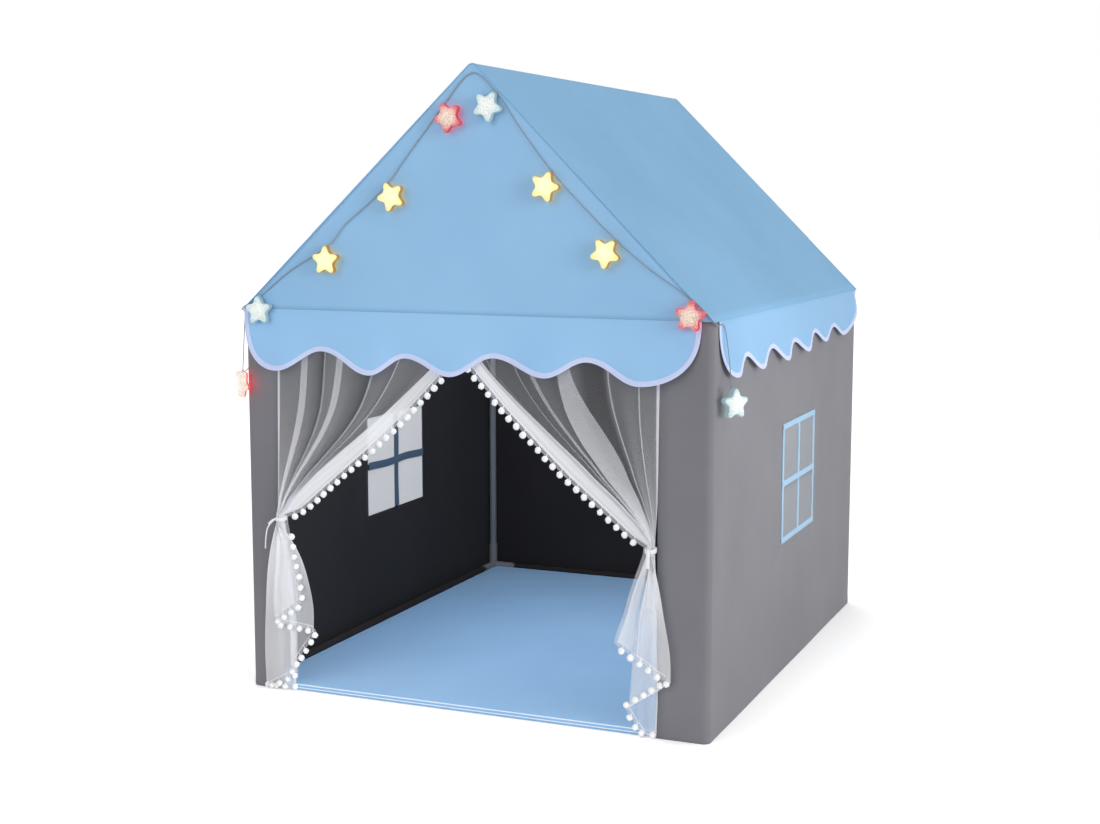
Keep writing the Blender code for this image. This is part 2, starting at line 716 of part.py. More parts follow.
def smooth_route(points, steps):
    """Points on a smooth curve through the route, a few between each pair."""
    points = [Vector(p) for p in points]
    times = [0.0]
    for a, b in zip(points, points[1:]):
        times.append(times[-1] + math.sqrt((b - a).length))
    slopes = []
    for i in range(len(points)):
        low = max(0, i - 1)
        high = min(len(points) - 1, i + 1)
        slopes.append((points[high] - points[low]) / (times[high] - times[low]))
    curve = []
    for i in range(len(points) - 1):
        span = times[i + 1] - times[i]
        for k in range(steps):
            t = k / steps
            start = (1 + 2 * t) * (1 - t) ** 2
            end = t * t * (3 - 2 * t)
            leave = t * (1 - t) ** 2 * span
            arrive = t * t * (t - 1) * span
            curve.append(points[i] * start + points[i + 1] * end
                         + slopes[i] * leave + slopes[i + 1] * arrive)
    curve.append(points[-1])
    return curve


def star_cord():
    """The thin twin cord that carries the stars, as one round tube."""
    points = smooth_route(cord_route, cord_steps)
    data = bpy.data.curves.new("star_cord", "CURVE")
    data.dimensions = "3D"
    data.bevel_depth = cord_radius
    data.bevel_resolution = 2
    data.use_fill_caps = True
    spline = data.splines.new("POLY")
    spline.points.add(len(points) - 1)
    for target, point in zip(spline.points, points):
        target.co = (*point, 1.0)
    data.materials.append(cord_clear)
    thing = bpy.data.objects.new("star_cord", data)
    bpy.context.collection.objects.link(thing)
    length = sum((b - a).length for a, b in zip(points, points[1:]))
    print(f"star_cord: {len(points)} points, {length:.3f} m long")


def battery_case():
    """The battery case, its screwed cover and the slide switch on its front edge."""
    back_x = -(tent_width / 2 + clearance)
    middle_z = case_bottom + case_height / 2
    case = rounded_box("battery_case", (case_split, case_width, case_height), case_round,
                       case_white)
    case.location = (back_x - case_split / 2, case_y, middle_z)
    gland = make_gland(back_x - case_split / 2, case_bottom + case_height)
    cut(case, gland, "UNION")
    slot = new_object("switch_slot", box_mesh((slot_width, 2 * slot_depth, slot_length)), case_white)
    slot.location = (back_x - case_split / 2, case_y - case_width / 2, middle_z)
    cut(case, slot)
    cover_depth = case_depth - case_split - clearance
    cover = rounded_box("battery_cover", (cover_depth, case_width, case_height),
                        case_round / 2, case_white)
    cover.location = (back_x - case_depth + cover_depth / 2, case_y, middle_z)
    bm = bmesh.new()
    bmesh.ops.create_cone(bm, cap_ends=True, segments=tube_sides, radius1=screw_radius,
                          radius2=screw_radius, depth=2 * screw_sink)
    well = new_object("screw_well", bm, case_white)
    well.rotation_euler = (0, math.pi / 2, 0)
    well.location = (back_x - case_depth, case_y, case_bottom + 3 * screw_radius)
    cut(cover, well)
    knob_width = slot_width - 2 * clearance
    knob_depth = slot_depth - clearance + knob_stand
    knob = rounded_box("battery_switch", (knob_width, knob_depth, knob_length), clearance,
                       case_white, 1)
    low_z = middle_z - slot_length / 2 + clearance + knob_length / 2
    knob.location = (back_x - case_split / 2,
                     case_y - case_width / 2 - knob_stand + knob_depth / 2, low_z)


def make_gland(x, z):
    """A short tapered gland where the cord leaves the top of the case."""
    bm = bmesh.new()
    bmesh.ops.create_cone(bm, cap_ends=True, segments=tube_sides, radius1=gland_radius,
                          radius2=gland_radius / 2, depth=2 * gland_length)
    gland = new_object("cord_gland", bm, case_white)
    gland.location = (x, case_y, z)
    return gland


frame()
end_walls()
side_walls()
roof_halves()
gables()
valances()
floor_mat()
for curtain_side, jamb_edge in (("left", door_left), ("right", door_right)):
    curtain(curtain_side, jamb_edge)
    tie_back(curtain_side, jamb_edge)
stars()
star_cord()
battery_case()
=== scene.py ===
"""The looks of the play tent: frame, walls, windows, roof, valances, mat, curtains and lights."""
import json

import bmesh
import bpy
import numpy as np
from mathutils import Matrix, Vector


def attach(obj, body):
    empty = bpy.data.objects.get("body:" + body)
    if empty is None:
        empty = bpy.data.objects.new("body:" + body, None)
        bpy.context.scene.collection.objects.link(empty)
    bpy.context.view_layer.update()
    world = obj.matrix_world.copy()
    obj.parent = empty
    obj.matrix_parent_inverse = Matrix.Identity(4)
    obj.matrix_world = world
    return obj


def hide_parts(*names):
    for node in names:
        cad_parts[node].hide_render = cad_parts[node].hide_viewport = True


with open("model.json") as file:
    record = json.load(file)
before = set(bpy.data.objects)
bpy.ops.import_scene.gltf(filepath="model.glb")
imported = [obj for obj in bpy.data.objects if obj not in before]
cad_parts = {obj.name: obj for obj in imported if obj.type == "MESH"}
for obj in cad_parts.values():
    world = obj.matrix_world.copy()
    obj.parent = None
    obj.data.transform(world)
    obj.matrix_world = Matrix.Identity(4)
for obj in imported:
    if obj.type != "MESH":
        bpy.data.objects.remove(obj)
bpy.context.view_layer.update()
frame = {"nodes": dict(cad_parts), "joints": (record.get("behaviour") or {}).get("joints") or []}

# Frame tubes and fittings
# The frame is drawn plastic tube, pushed into moulded fittings at every corner.
# Both show a soft satin gloss; the fittings have the faint orange peel of a mould.


def linear(code):
    """The linear RGBA colour of an sRGB hex code: each channel through the sRGB curve."""
    srgb = np.array([int(code[i:i + 2], 16) for i in (1, 3, 5)]) / 255
    channels = np.where(srgb > 0.04045, ((srgb + 0.055) / 1.055) ** 2.4, srgb / 12.92)
    return (*channels.tolist(), 1.0)


def add(tree, kind, inputs=None, **settings):
    """Adds one node; inputs holds each socket's value, or the socket that feeds it."""
    node = tree.nodes.new("ShaderNode" + kind)
    for name, value in settings.items():
        setattr(node, name, value)
    for key, value in (inputs or {}).items():
        if isinstance(value, bpy.types.NodeSocket):
            tree.links.new(value, node.inputs[key])
        else:
            node.inputs[key].default_value = value
    return node


def start_material(name):
    """A material with an empty node tree."""
    material = bpy.data.materials.new(name)
    material.use_nodes = True
    material.node_tree.nodes.clear()
    return material, material.node_tree


def close_material(tree, shader):
    """Joins the shader to the material's output."""
    add(tree, "OutputMaterial", {"Surface": shader.outputs[0]})


def moulded_plastic(name, code, roughness, grain_mm):
    """Moulded or drawn plastic: one colour, a fine grain from the tool, and IOR 1.46."""
    material, tree = start_material(name)
    place = add(tree, "TexCoord").outputs["Object"]
    grain = add(tree, "TexNoise", {"Vector": place, "Scale": 1000 / grain_mm, "Detail": 2.0})
    bump = add(tree, "Bump", {"Height": grain.outputs[0], "Strength": 0.15, "Distance": 0.0002})
    shader = add(tree, "BsdfPrincipled", {
        "Base Color": linear(code), "Roughness": roughness, "IOR": 1.46,
        "Normal": bump.outputs[0]})
    close_material(tree, shader)
    return material


def dress(material, *nodes):
    """Gives CAD nodes, whose shapes are right as they are, their finished material."""
    for name in nodes:
        for slot in frame["nodes"][name].material_slots:
            slot.link = "OBJECT"
            slot.material = material


drawn_tube = moulded_plastic("drawn polypropylene tube", "#77797E", 0.42, 1.5)
moulded_fitting = moulded_plastic("moulded ABS fitting", "#7A7C81", 0.45, 0.8)
tube_names = ("post_", "rafter_", "floor_rail_", "eave_rail_", "ridge_tube")
dress(drawn_tube, *[name for name in frame["nodes"] if name.startswith(tube_names)])
dress(moulded_fitting, *[name for name in frame["nodes"] if "_fitting_" in name])

# Walls
# One length of plain-woven polyester wraps the frame from one side of the doorway round
# to the other. It is mid grey outside; the near-black of its lining is painted shade, so the
# inside is dark.

half_width, half_depth, wall_height = 0.520, 0.620, 0.8231
corner_radius = 0.0144
jamb_left, jamb_right = -0.442, 0.412
window_y, window_h, trim_w = 0.050, 0.270, 0.014
windows = {"left": (-1, 0.320, 0.402), "right": (1, 0.290, 0.430)}      # side, width, middle height
panel_belly, panel_crease = 0.0035, 0.0011      # how far a panel hangs in, and its wrinkles' depth


def placed(name, data):
    """A new object with this data, in the scene at the origin."""
    thing = bpy.data.objects.new(name, data)
    bpy.context.collection.objects.link(thing)
    return thing


def length_along(line):
    """Length along a line of points, from its start to each point."""
    return np.concatenate([[0], np.cumsum(np.linalg.norm(np.diff(line, axis=0), axis=1))])


def points_at(lengths, run, line):
    """The points at these lengths along a line, whose own points lie at the lengths run."""
    return np.stack([np.interp(lengths, run, line[:, i]) for i in range(line.shape[1])], axis=1)


def averaged(line, rounds):
    """The line with each point averaged with its neighbours, rounds times; its ends stay."""
    line = line.copy()
    for _ in range(rounds):
        line[1:-1] = (line[:-2] + 2 * line[1:-1] + line[2:]) / 4
    return line


def unit(rows):
    """Each row as a direction of length 1."""
    return rows / np.maximum(np.linalg.norm(rows, axis=1), 1e-9)[:, None]


def smooth_step(value):
    """0 below 0, 1 above 1, with a level start and end."""
    value = np.clip(value, 0, 1)
    return value * value * (3 - 2 * value)


def oval(half_wide, half_high, count):
    """A closed oval section of count points."""
    turn = np.linspace(0, 2 * np.pi, count, endpoint=False)
    return np.stack([half_wide * np.cos(turn), half_high * np.sin(turn)], axis=1)


def surface(name, points, uv=None, wrap_rows=False, wrap_columns=False, keep=None, values=None):
    """A mesh whose quads join a grid of points, rows by columns; a wrapped direction closes on
    itself, and a tube's two ends are capped. uv is in metres of cloth; keep drops quads; values
    are named numbers on the points."""
    rows, columns = points.shape[:2]
    index = np.arange(rows * columns).reshape(rows, columns)
    if wrap_rows:
        index = np.vstack([index, index[:1]])
    if wrap_columns:
        index = np.hstack([index, index[:, :1]])
    corner = np.stack([index[:-1, :-1], index[:-1, 1:], index[1:, 1:], index[1:, :-1]], axis=-1)
    where = np.arange(index.size).reshape(index.shape)
    uv_corner = np.stack([where[:-1, :-1], where[:-1, 1:], where[1:, 1:], where[1:, :-1]], axis=-1)
    if keep is None:
        keep = np.ones(corner.shape[:2], dtype=bool)
    quads = corner[keep]
    mesh = bpy.data.meshes.new(name)
    mesh.from_pydata(points.reshape(-1, 3).tolist(), [], quads.tolist())
    if uv is not None:
        layer = mesh.uv_layers.new(name="cloth")
        layer.data.foreach_set("uv", uv.reshape(-1, 2)[uv_corner[keep].reshape(-1)].reshape(-1))
    for key, value in (values or {}).items():
        attribute = mesh.attributes.new(key, "FLOAT", "POINT")
        attribute.data.foreach_set("value", value.reshape(-1).astype(np.float32))
    if wrap_columns:
        work = bmesh.new()
        work.from_mesh(mesh)
        if not wrap_rows:
            bmesh.ops.holes_fill(work, edges=work.edges, sides=0)
        bmesh.ops.recalc_face_normals(work, faces=work.faces)
        work.to_mesh(mesh)
        work.free()
    mesh.polygons.foreach_set("use_smooth", np.ones(len(mesh.polygons), dtype=bool))
    return placed(name, mesh)


def clad(thing, *materials):
    """Gives a piece its materials, the outside's first."""
    for material in materials:
        thing.data.materials.append(material)


def thicken(thing, thickness, offset=0.0, inner_slot=0):
    """Gives a sheet its thickness; offset 0 leaves the grid in the middle of the cloth."""
    step = thing.modifiers.new("thickness", "SOLIDIFY")
    step.thickness = thickness
    step.offset = offset
    step.material_offset = inner_slot
    return step


def creases(a, b, size, depth, seed, stretch=1.0):
    """Soft wrinkles over a sheet: a sum of eight plane waves with seeded directions, whose
    lengths lie about size; stretch above 1 draws them out along b."""
    chance = np.random.default_rng(seed)
    height = np.zeros(np.broadcast(a, b).shape)
    for _ in range(8):
        turn = chance.uniform(0, np.pi)
        length = size * chance.uniform(0.7, 1.7)
        phase = chance.uniform(0, 2 * np.pi)
        way = a * np.cos(turn) + b * np.sin(turn) / stretch
        height += np.sin(2 * np.pi * way / length + phase)
    return depth * height / 2.8


def lines(low, high, step, *extra):
    """Evenly spaced grid lines from low to high, with the extra ones put in where they fall."""
    count = max(2, int(round((high - low) / step)) + 1)
    evenly = np.linspace(low, high, count)
    extra = np.array([e for e in extra if low < e < high])
    if len(extra):
        evenly = evenly[np.abs(evenly[:, None] - extra[None, :]).min(axis=1) > step * 0.35]
    return np.unique(np.concatenate([[low, high], evenly, extra]))


def woven_cloth(name, code, shade_code, thread_mm, roughness, sheen=0.25, mottle=1.0):
    """Plain-woven polyester: warp and weft cross at thread_mm along the cloth's own UVs, which
    gives the eye a fine even grain, a soft sheen and slow drifts of colour."""
    material, tree = start_material(name)
    uv = add(tree, "UVMap", uv_map="cloth").outputs[0]
    bands = 0.314 * 1000 / thread_mm
    warp = add(tree, "TexWave", {"Vector": uv, "Scale": bands}, bands_direction="X")
    weft = add(tree, "TexWave", {"Vector": uv, "Scale": bands}, bands_direction="Y")
    weave = add(tree, "Math", {0: warp.outputs[1], 1: weft.outputs[1]}, operation="MAXIMUM")
    place = add(tree, "TexCoord").outputs["Object"]
    drift = add(tree, "TexNoise", {"Vector": place, "Scale": 3.0, "Detail": 3.0,
                                   "Roughness": 0.6})
    level = add(tree, "MapRange", {0: drift.outputs[0], 1: 0.35, 2: 0.65, 3: 0.0, 4: mottle})
    colour = add(tree, "Mix", {0: level.outputs[0], 6: linear(code), 7: linear(shade_code)},
                 data_type="RGBA")
    bump = add(tree, "Bump", {"Height": weave.outputs[0], "Strength": 0.18, "Distance": 0.0002})
    shader = add(tree, "BsdfPrincipled", {
        "Base Color": colour.outputs[2], "Roughness": roughness, "IOR": 1.45,
        "Specular IOR Level": 0.3, "Sheen Weight": sheen, "Sheen Roughness": 0.45,
        "Normal": bump.outputs[0]})
    close_material(tree, shader)
    return material


# The threads are 0.3 mm apart on the real cloth, and are drawn at 1.2 mm so that they show.
wall_cloth = woven_cloth("grey plain-woven polyester", "#7C7C82", "#74747A", 1.2, 0.85)
# The lining's near-black is painted shade, standing in for the dark inside of the tent.
lining_cloth_painted_shade = woven_cloth("near-black lining, painted shade", "#252225", "#211F21", 1.2, 0.9, 0.05)


def wall_path():
    """Key points of the walls seen from above, from the right jamb round the back to the left
    one, with a quarter circle at each corner: points, and length along the cloth to each."""
    points = [(jamb_right, -half_depth)]
    for sx, sy, start in ((1, -1, -90), (1, 1, 0), (-1, 1, 90), (-1, -1, 180)):
        centre = np.array([sx * (half_width - corner_radius), sy * (half_depth - corner_radius)])
        turn = np.radians(start + np.linspace(0, 90, 9))
        points += list(centre + corner_radius * np.stack([np.cos(turn), np.sin(turn)], axis=1))
    points.append((jamb_left, -half_depth))
    points = np.array(points)
    return points, length_along(points)


def ribbon_edges(middle, size):
    """Both edges of the three ribbons across a window: its two borders and its middle bar."""
    return [middle + s for s in (-size / 2, -size / 2 + trim_w, -trim_w / 2, trim_w / 2,
                                 size / 2 - trim_w, size / 2)]


def in_panes(value, edges):
    """True where a place across a window lies in one of its two panes."""
    return ((value > edges[1]) & (value < edges[2])) | ((value > edges[3]) & (value < edges[4]))


outline, runs = wall_path()
panes_y = {name: ribbon_edges(window_y, wide) for name, (_, wide, _) in windows.items()}
panes_z = {name: ribbon_edges(height, window_h) for name, (_, _, height) in windows.items()}
right_start = runs[9]       # where the right wall's flat part begins, at its front end
left_start = runs[27]       # where the left wall's flat part begins, at its back end
flat_front = -(half_depth - corner_radius)
flat_back = half_depth - corner_radius
extra = [right_start + y - flat_front for y in panes_y["right"]]
extra += [left_start + flat_back - y for y in panes_y["left"]]
along = lines(0, runs[-1], 0.022, *runs[1:-1], *extra)
up = lines(0.0, wall_height, 0.022, 0.004, 0.012, *panes_z["left"], *panes_z["right"],
           wall_height - 0.012)
flat_x = np.interp(along, runs, outline[:, 0])
flat_y = np.interp(along, runs, outline[:, 1])
step = unit(np.stack([np.gradient(flat_x, along), np.gradient(flat_y, along)], axis=1))
outward = np.stack([step[:, 1], -step[:, 0]], axis=1)
s, z = np.meshgrid(along, up)
# Each panel bellies in a little between its posts and rails, and is still at the posts.
corner_runs = np.concatenate([[0], runs[[5, 14, 23, 32]], [runs[-1]]])
nearest = np.abs(s[..., None] - corner_runs).min(axis=-1)
free = smooth_step((nearest - 0.02) / 0.12)
height_free = np.sin(np.pi * np.clip(z / wall_height, 0, 1)) ** 0.7
belly = -panel_belly * free * height_free
belly += creases(s, z, 0.34, panel_crease, 4, 1.9) * free * (0.35 + 0.65 * height_free)
hem = 0.0006 * ((z < 0.0125) & (z > 0.0))
near_window = np.zeros_like(s)
for middle, name in ((right_start + window_y - flat_front, "right"),
                     (left_start + flat_back - window_y, "left")):
    _, window_w, window_z = windows[name]
    away = np.maximum(np.abs(s - middle) - window_w / 2, np.abs(z - window_z) - window_h / 2)
    near_window = np.maximum(near_window, 1 - np.clip(away / 0.05, 0, 1))
offset = belly * (1 - near_window) + hem - 0.0005
points = np.stack([np.interp(s, along, flat_x) + offset * np.interp(s, along, outward[:, 0]),
                   np.interp(s, along, flat_y) + offset * np.interp(s, along, outward[:, 1]),
                   z], axis=-1)
mid_s = (along[1:] + along[:-1]) / 2
mid_z = (up[1:] + up[:-1]) / 2
keep = np.ones((len(mid_z), len(mid_s)), dtype=bool)
for name, start, direction, base in (("right", right_start, 1, flat_front),
                                     ("left", left_start, -1, flat_back)):
    y_here = base + direction * (mid_s - start)
    on_side = (mid_s > start) & (mid_s < start + 2 * flat_back)
    opening = in_panes(mid_z, panes_z[name])[:, None] & (on_side & in_panes(y_here, panes_y[name]))
    keep &= ~opening
walls = surface("walls", points, np.stack([s, z], axis=-1), keep=keep)
clad(walls, wall_cloth, lining_cloth_painted_shade)
thicken(walls, 0.0010, 0.0, 1)
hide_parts("wall_left", "wall_right", "wall_back", "wall_front_left", "wall_front_right")
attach(walls, "tent")

# The floor rails lie in sleeves of the lining cloth, sewn along the foot of the walls; their
# near-black is painted shade.
sleeve_radius, sleeve_height = 0.0112, 0.0125
sleeve_turn = np.linspace(0, 2 * np.pi, 18, endpoint=False)
rail_sleeves = {"left": (1, -0.5056, 0.537), "right": (1, 0.5056, 0.537),
                "back": (0, 0.6056, 0.437)}     # axis that the rail runs along, place, half length
for name, (axis, at, half) in rail_sleeves.items():
    run = np.linspace(-half, half, 60)
    around = np.repeat(sleeve_turn[None, :], len(run), axis=0)
    width = sleeve_radius + creases(run[:, None], around * 0.02, 0.05, 0.0004, 71)
    across = at + width * np.cos(around)
    height = sleeve_height + width * np.sin(around)
    along_rail = np.repeat(run[:, None], len(sleeve_turn), axis=1)
    place = (across, along_rail) if axis == 1 else (along_rail, across)
    u, v = np.meshgrid(np.linspace(0, 0.07, len(sleeve_turn) + 1), run)
    sleeve = surface(f"rail_sleeve_{name}", np.stack([*place, height], axis=-1),
                     np.stack([v, u], axis=-1), wrap_columns=True)
    clad(sleeve, lining_cloth_painted_shade)
    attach(sleeve, "tent")

# Windows
# Each window is white net, painted grey for the shade it lies in, sewn behind a frame of pale
# blue grosgrain, with a cross over the middle. Outside the ribbed ribbon shows; inside, the
# wall's lining, its near-black painted shade, frames the net.


def close_net(tree, code, share, back_lit, roughness, sheen=0.0):
    """Joins a net's shader to the material's output: threads that cover share of it, with the
    part back_lit of their own light coming from behind."""
    shader = add(tree, "BsdfPrincipled", {
        "Base Color": linear(code), "Roughness": roughness, "Specular IOR Level": 0.2,
        "Sheen Weight": sheen, "Alpha": share})
    glow = add(tree, "BsdfTranslucent", {"Color": linear(code)})
    clear = add(tree, "BsdfTransparent")
    through = add(tree, "MixShader", {0: share, 1: clear.outputs[0], 2: glow.outputs[0]})
    both = add(tree, "MixShader", {0: back_lit, 1: shader.outputs[0], 2: through.outputs[0]})
    close_material(tree, both)


def net_cloth(name, code, cover, hole_mm, back_lit=0.65):
    """Fine white net: round holes on a square grid, drawn coarse, through which the far side
    shows; cover is the share of light that its threads stop, and back_lit how much of their
    own light comes from behind."""
    material, tree = start_material(name)
    uv = add(tree, "UVMap", uv_map="cloth").outputs[0]
    cells = add(tree, "TexVoronoi", {"Vector": uv, "Scale": 1000 / hole_mm, "Randomness": 0.15},
                voronoi_dimensions="2D")
    threads = add(tree, "MapRange", {0: cells.outputs["Distance"], 1: 0.25, 2: 0.6,
                                     3: cover * 0.75, 4: min(1.0, cover * 1.25)})
    close_net(tree, code, threads.outputs[0], back_lit, 0.8)
    return material


grosgrain = woven_cloth("pale blue grosgrain ribbon", "#9CC3E0", "#94BCDA", 1.6, 0.7, 0.35)
# The inner tape's dark blue-grey is painted shade of the blue ribbon.
inner_tape_painted_shade = woven_cloth("blue tape inside the cross, painted in shade", "#4A6076", "#445A70", 1.4, 0.8, 0.1)
# The net is white; its grey colour is painted shade.
window_net_painted_shade = net_cloth("white window net, painted grey shade", "#B3B5BA", 0.85, 1.6, 0.35)
net_inset, tape_half, tape_inset = 0.004, 0.0095, 0.016


def bar_share(value, edges):
    """Distance into the nearest of the three ribbons, as a share of its half width."""
    middles = np.array([(edges[0] + edges[1]) / 2, (edges[2] + edges[3]) / 2,
                        (edges[4] + edges[5]) / 2])
    return np.clip(1 - np.abs(value[..., None] - middles).min(axis=-1) / (trim_w / 2), 0, 1)


for side, (sign, window_w, window_z) in windows.items():
    edges_y, edges_z = panes_y[side], panes_z[side]
    order = slice(None, None, sign)
    ys = lines(edges_y[0], edges_y[5], 0.0035, *edges_y)
    zs = lines(edges_z[0], edges_z[5], 0.0035, *edges_z)
    y, z = np.meshgrid(ys[order], zs)
    crown = np.maximum(bar_share(y, edges_y), bar_share(z, edges_z))
    rise = 0.0012 + 0.0007 * np.sqrt(crown) + creases(y, z, 0.03, 0.00018, 11)
    mid_y = (y[0, 1:] + y[0, :-1]) / 2
    mid_z = (zs[1:] + zs[:-1]) / 2
    ribbon_keep = ~(in_panes(mid_z, edges_z)[:, None] & in_panes(mid_y, edges_y)[None, :])
    trim = surface(f"window_trim_{side}", np.stack([sign * (half_width + rise), y, z], axis=-1),
                   np.stack([y, z], axis=-1), keep=ribbon_keep)
    clad(trim, grosgrain)
    thicken(trim, 0.0009, -1.0)
    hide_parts(f"window_{side}")
    y, z = np.meshgrid(np.linspace(edges_y[0] + net_inset, edges_y[5] - net_inset, 60)[order],
                       np.linspace(edges_z[0] + net_inset, edges_z[5] - net_inset, 56))
    sag = creases(y, z, 0.09, 0.0005, 12)
    net = surface(f"window_net_painted_shade_{side}",
                  np.stack([sign * (half_width + 0.0006) + sag * 0.5, y, z], axis=-1),
                  np.stack([y, z], axis=-1))
    clad(net, window_net_painted_shade)
    # Inside, a wider tape covers the stitching of the cross; its dark blue-grey is painted
    # shade on the ribbon's inner face.
    tapes = []
    for way, (half_y, half_z) in (("upright", (tape_half, window_h / 2 - tape_inset)),
                                  ("level", (window_w / 2 - tape_inset, tape_half))):
        y, z = np.meshgrid(np.linspace(-half_y, half_y, 40)[order],
                           np.linspace(-half_z, half_z, 40))
        arch = 0.0006 * np.cos(np.pi / 2 * (y / half_y if way == "upright" else z / half_z))
        wave = 0.0016 * np.sin(9 * (z if way == "upright" else y) / window_h)
        y, z = (y + wave, z) if way == "upright" else (y, z + wave)
        points = np.stack([sign * (half_width - 0.0024 - arch), window_y + y, window_z + z],
                          axis=-1)
        tape = surface(f"window_tape_{way}_{side}", points, np.stack([y, z], axis=-1))
        clad(tape, inner_tape_painted_shade)
        thicken(tape, 0.0008, 0.0)
        tapes.append(tape)
    for piece in (trim, net, *tapes):
        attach(piece, "tent")

# Roof
# A single length of light blue polyester lies over the ridge from eave to eave. It is
# sewn to the gables along a narrow turned welt, and sags a little between the rafters.

eave_z, ridge_z, ridge_x = 0.825, 1.3056, 0.0205
side_face, end_face = 0.5219, 0.6219
reaches = {-1: side_face + ridge_x, 1: side_face - ridge_x}
slopes = {sign: np.arctan2(ridge_z - eave_z, reach)
          + np.arcsin(corner_radius / np.hypot(reach, ridge_z - eave_z))
          for sign, reach in reaches.items()}
# The roof's one polyester is drawn in four painted shades, for how light falls on each part:
# darkest on the slopes, then the side valances, the gables, and lightest on the end valances.
roof_cloth_painted_slope_shade = woven_cloth("light blue plain-woven polyester, painted slope shade", "#85B5DA", "#7FAFD4", 1.2, 0.8, 0.06)
gable_cloth_painted_lighter = woven_cloth("light blue polyester, painted lighter for the gables", "#93BFE4", "#8DB9DF", 1.2, 0.8, 0.12)
roof_lining = woven_cloth("blue polyester inside face", "#7FA9CC", "#7AA4C8", 1.2, 0.85)


def roof_profile(inset, count_slope=34, count_ridge=9):
    """The roof's outline from the left eave over the ridge to the right one, drawn inset
    inside the CAD line: two straight slopes joined by an arc round the ridge tube."""
    radius = corner_radius - inset
    turn = np.linspace(np.pi / 2 + slopes[-1], np.pi / 2 - slopes[1], count_ridge)
    arc = np.stack([ridge_x + radius * np.cos(turn), ridge_z + radius * np.sin(turn)], axis=1)
    feet = {sign: np.array([sign * (side_face - inset * np.sin(slope)),
                            eave_z - inset * np.cos(slope)]) for sign, slope in slopes.items()}
    share = np.linspace(0, 1, count_slope)[:, None]
    left = feet[-1] * (1 - share) + arc[0] * share
    right = arc[-1] * (1 - share) + feet[1] * share
    return np.vstack([left[:-1], arc, right[1:]])


roof_sag, roof_crease = 0.006, 0.0011
profile = roof_profile(0.0006)
lengths = length_along(profile)
to_ridge = lengths[len(lengths) // 2]
ys = lines(-end_face, end_face, 0.024, -end_face + 0.006, end_face - 0.006)
t, y = np.meshgrid(lengths, ys)
x = np.interp(t, lengths, profile[:, 0])
z = np.interp(t, lengths, profile[:, 1])
side = np.where(t < to_ridge, -1, 1)
down_slope = np.where(t < to_ridge, 1 - t / to_ridge, (t - to_ridge) / (lengths[-1] - to_ridge))
tilt = np.where(t < to_ridge, slopes[-1], slopes[1])
free_y = smooth_step((end_face - 0.03 - np.abs(y)) / 0.20)
free_t = np.sin(np.pi * np.clip((down_slope - 0.05) / 0.95, 0, 1)) ** 0.8
sag = -roof_sag * free_y * free_t
sag += creases(t, y, 0.36, roof_crease, 21, 1.5) * free_t * (0.25 + 0.75 * free_y)
points = np.stack([x + side * np.sin(tilt) * sag, y, z + np.cos(tilt) * sag], axis=-1)
roof = surface("roof", points, np.stack([t, y], axis=-1))
clad(roof, roof_cloth_painted_slope_shade, roof_lining)
thicken(roof, 0.0010, 0.0, 1)
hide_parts("roof_left", "roof_right")
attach(roof, "tent")


def rings_along(path, section, side_way, up_way):
    """A section carried along a path: each ring is the path's point plus the section's two
    distances along the side and up directions given for that point. A section that changes on
    its way comes as one for each point."""
    return (path[:, None, :] + section[..., 0:1] * side_way[:, None, :]
            + section[..., 1:2] * up_way[:, None, :])


def carried(name, path, section, side_way, up_way):
    """The closed mesh of one section carried along a path."""
    rings = rings_along(path, section, side_way, up_way)
    u, v = np.meshgrid(length_along(np.vstack([section, section[:1]])), length_along(path))
    return surface(name, rings, np.stack([v, u], axis=-1), wrap_columns=True)


welt_section = oval(0.0013, 0.0013, 10)
for end, sign in (("front", -1), ("back", 1)):
    line = roof_profile(0.0009)
    at_seam = np.full(len(line), sign * (end_face - 0.0002))
    path = np.stack([line[:, 0], at_seam, line[:, 1]], axis=1)
    side_way = np.tile([0.0, -1.0, 0.0], (len(path), 1))
    up_way = np.cross(unit(np.gradient(path, axis=0)), side_way)
    welt = carried(f"roof_welt_{end}", path, welt_section, side_way, up_way)
    clad(welt, roof_cloth_painted_slope_shade)
    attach(welt, "tent")

# Gables
# Each gable is a triangle of the same blue polyester, in a lighter painted shade than the
# slopes, sewn to the roof along both slopes and to the valance along the eave seam, which draws it
# in to a fine dark line.

line = roof_profile(0.0022)
middle = len(line) // 2
level = np.clip(line[middle:, 1][::-1], eave_z + 0.0004, None)
left_x = np.interp(level, line[:middle + 1, 1], line[:middle + 1, 0])
right_x = np.interp(level, line[middle:, 1][::-1], line[middle:, 0][::-1])
share = np.linspace(0, 1, 57)
x = left_x[:, None] + np.maximum(right_x - left_x, 0.0008)[:, None] * share[None, :]
z = np.repeat(level[:, None], len(share), axis=1)
from_edge = np.minimum(x - left_x[:, None], right_x[:, None] - x)
free = np.clip(from_edge / 0.10, 0, 1) * np.clip((z - eave_z) / 0.05, 0, 1)
gable_belly, gable_crease, seam_depth, seam_reach = 0.0022, 0.0009, 0.0004, 0.003
seam = seam_depth * np.exp(-((z - eave_z) / seam_reach) ** 2)
inward = 0.0009 + seam + gable_belly * free + creases(x, z, 0.30, gable_crease, 31, 1.4) * free
for end, sign in (("front", -1), ("back", 1)):
    order = slice(None, None, -sign)
    points = np.stack([x, sign * (end_face - inward), z], axis=-1)[:, order]
    gable = surface(f"gable_cloth_painted_lighter_{end}", points, np.stack([x, z], axis=-1)[:, order])
    clad(gable, gable_cloth_painted_lighter, roof_lining)
    thicken(gable, 0.0010, 0.0, 1)
    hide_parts(f"gable_{end}")
    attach(gable, "tent")

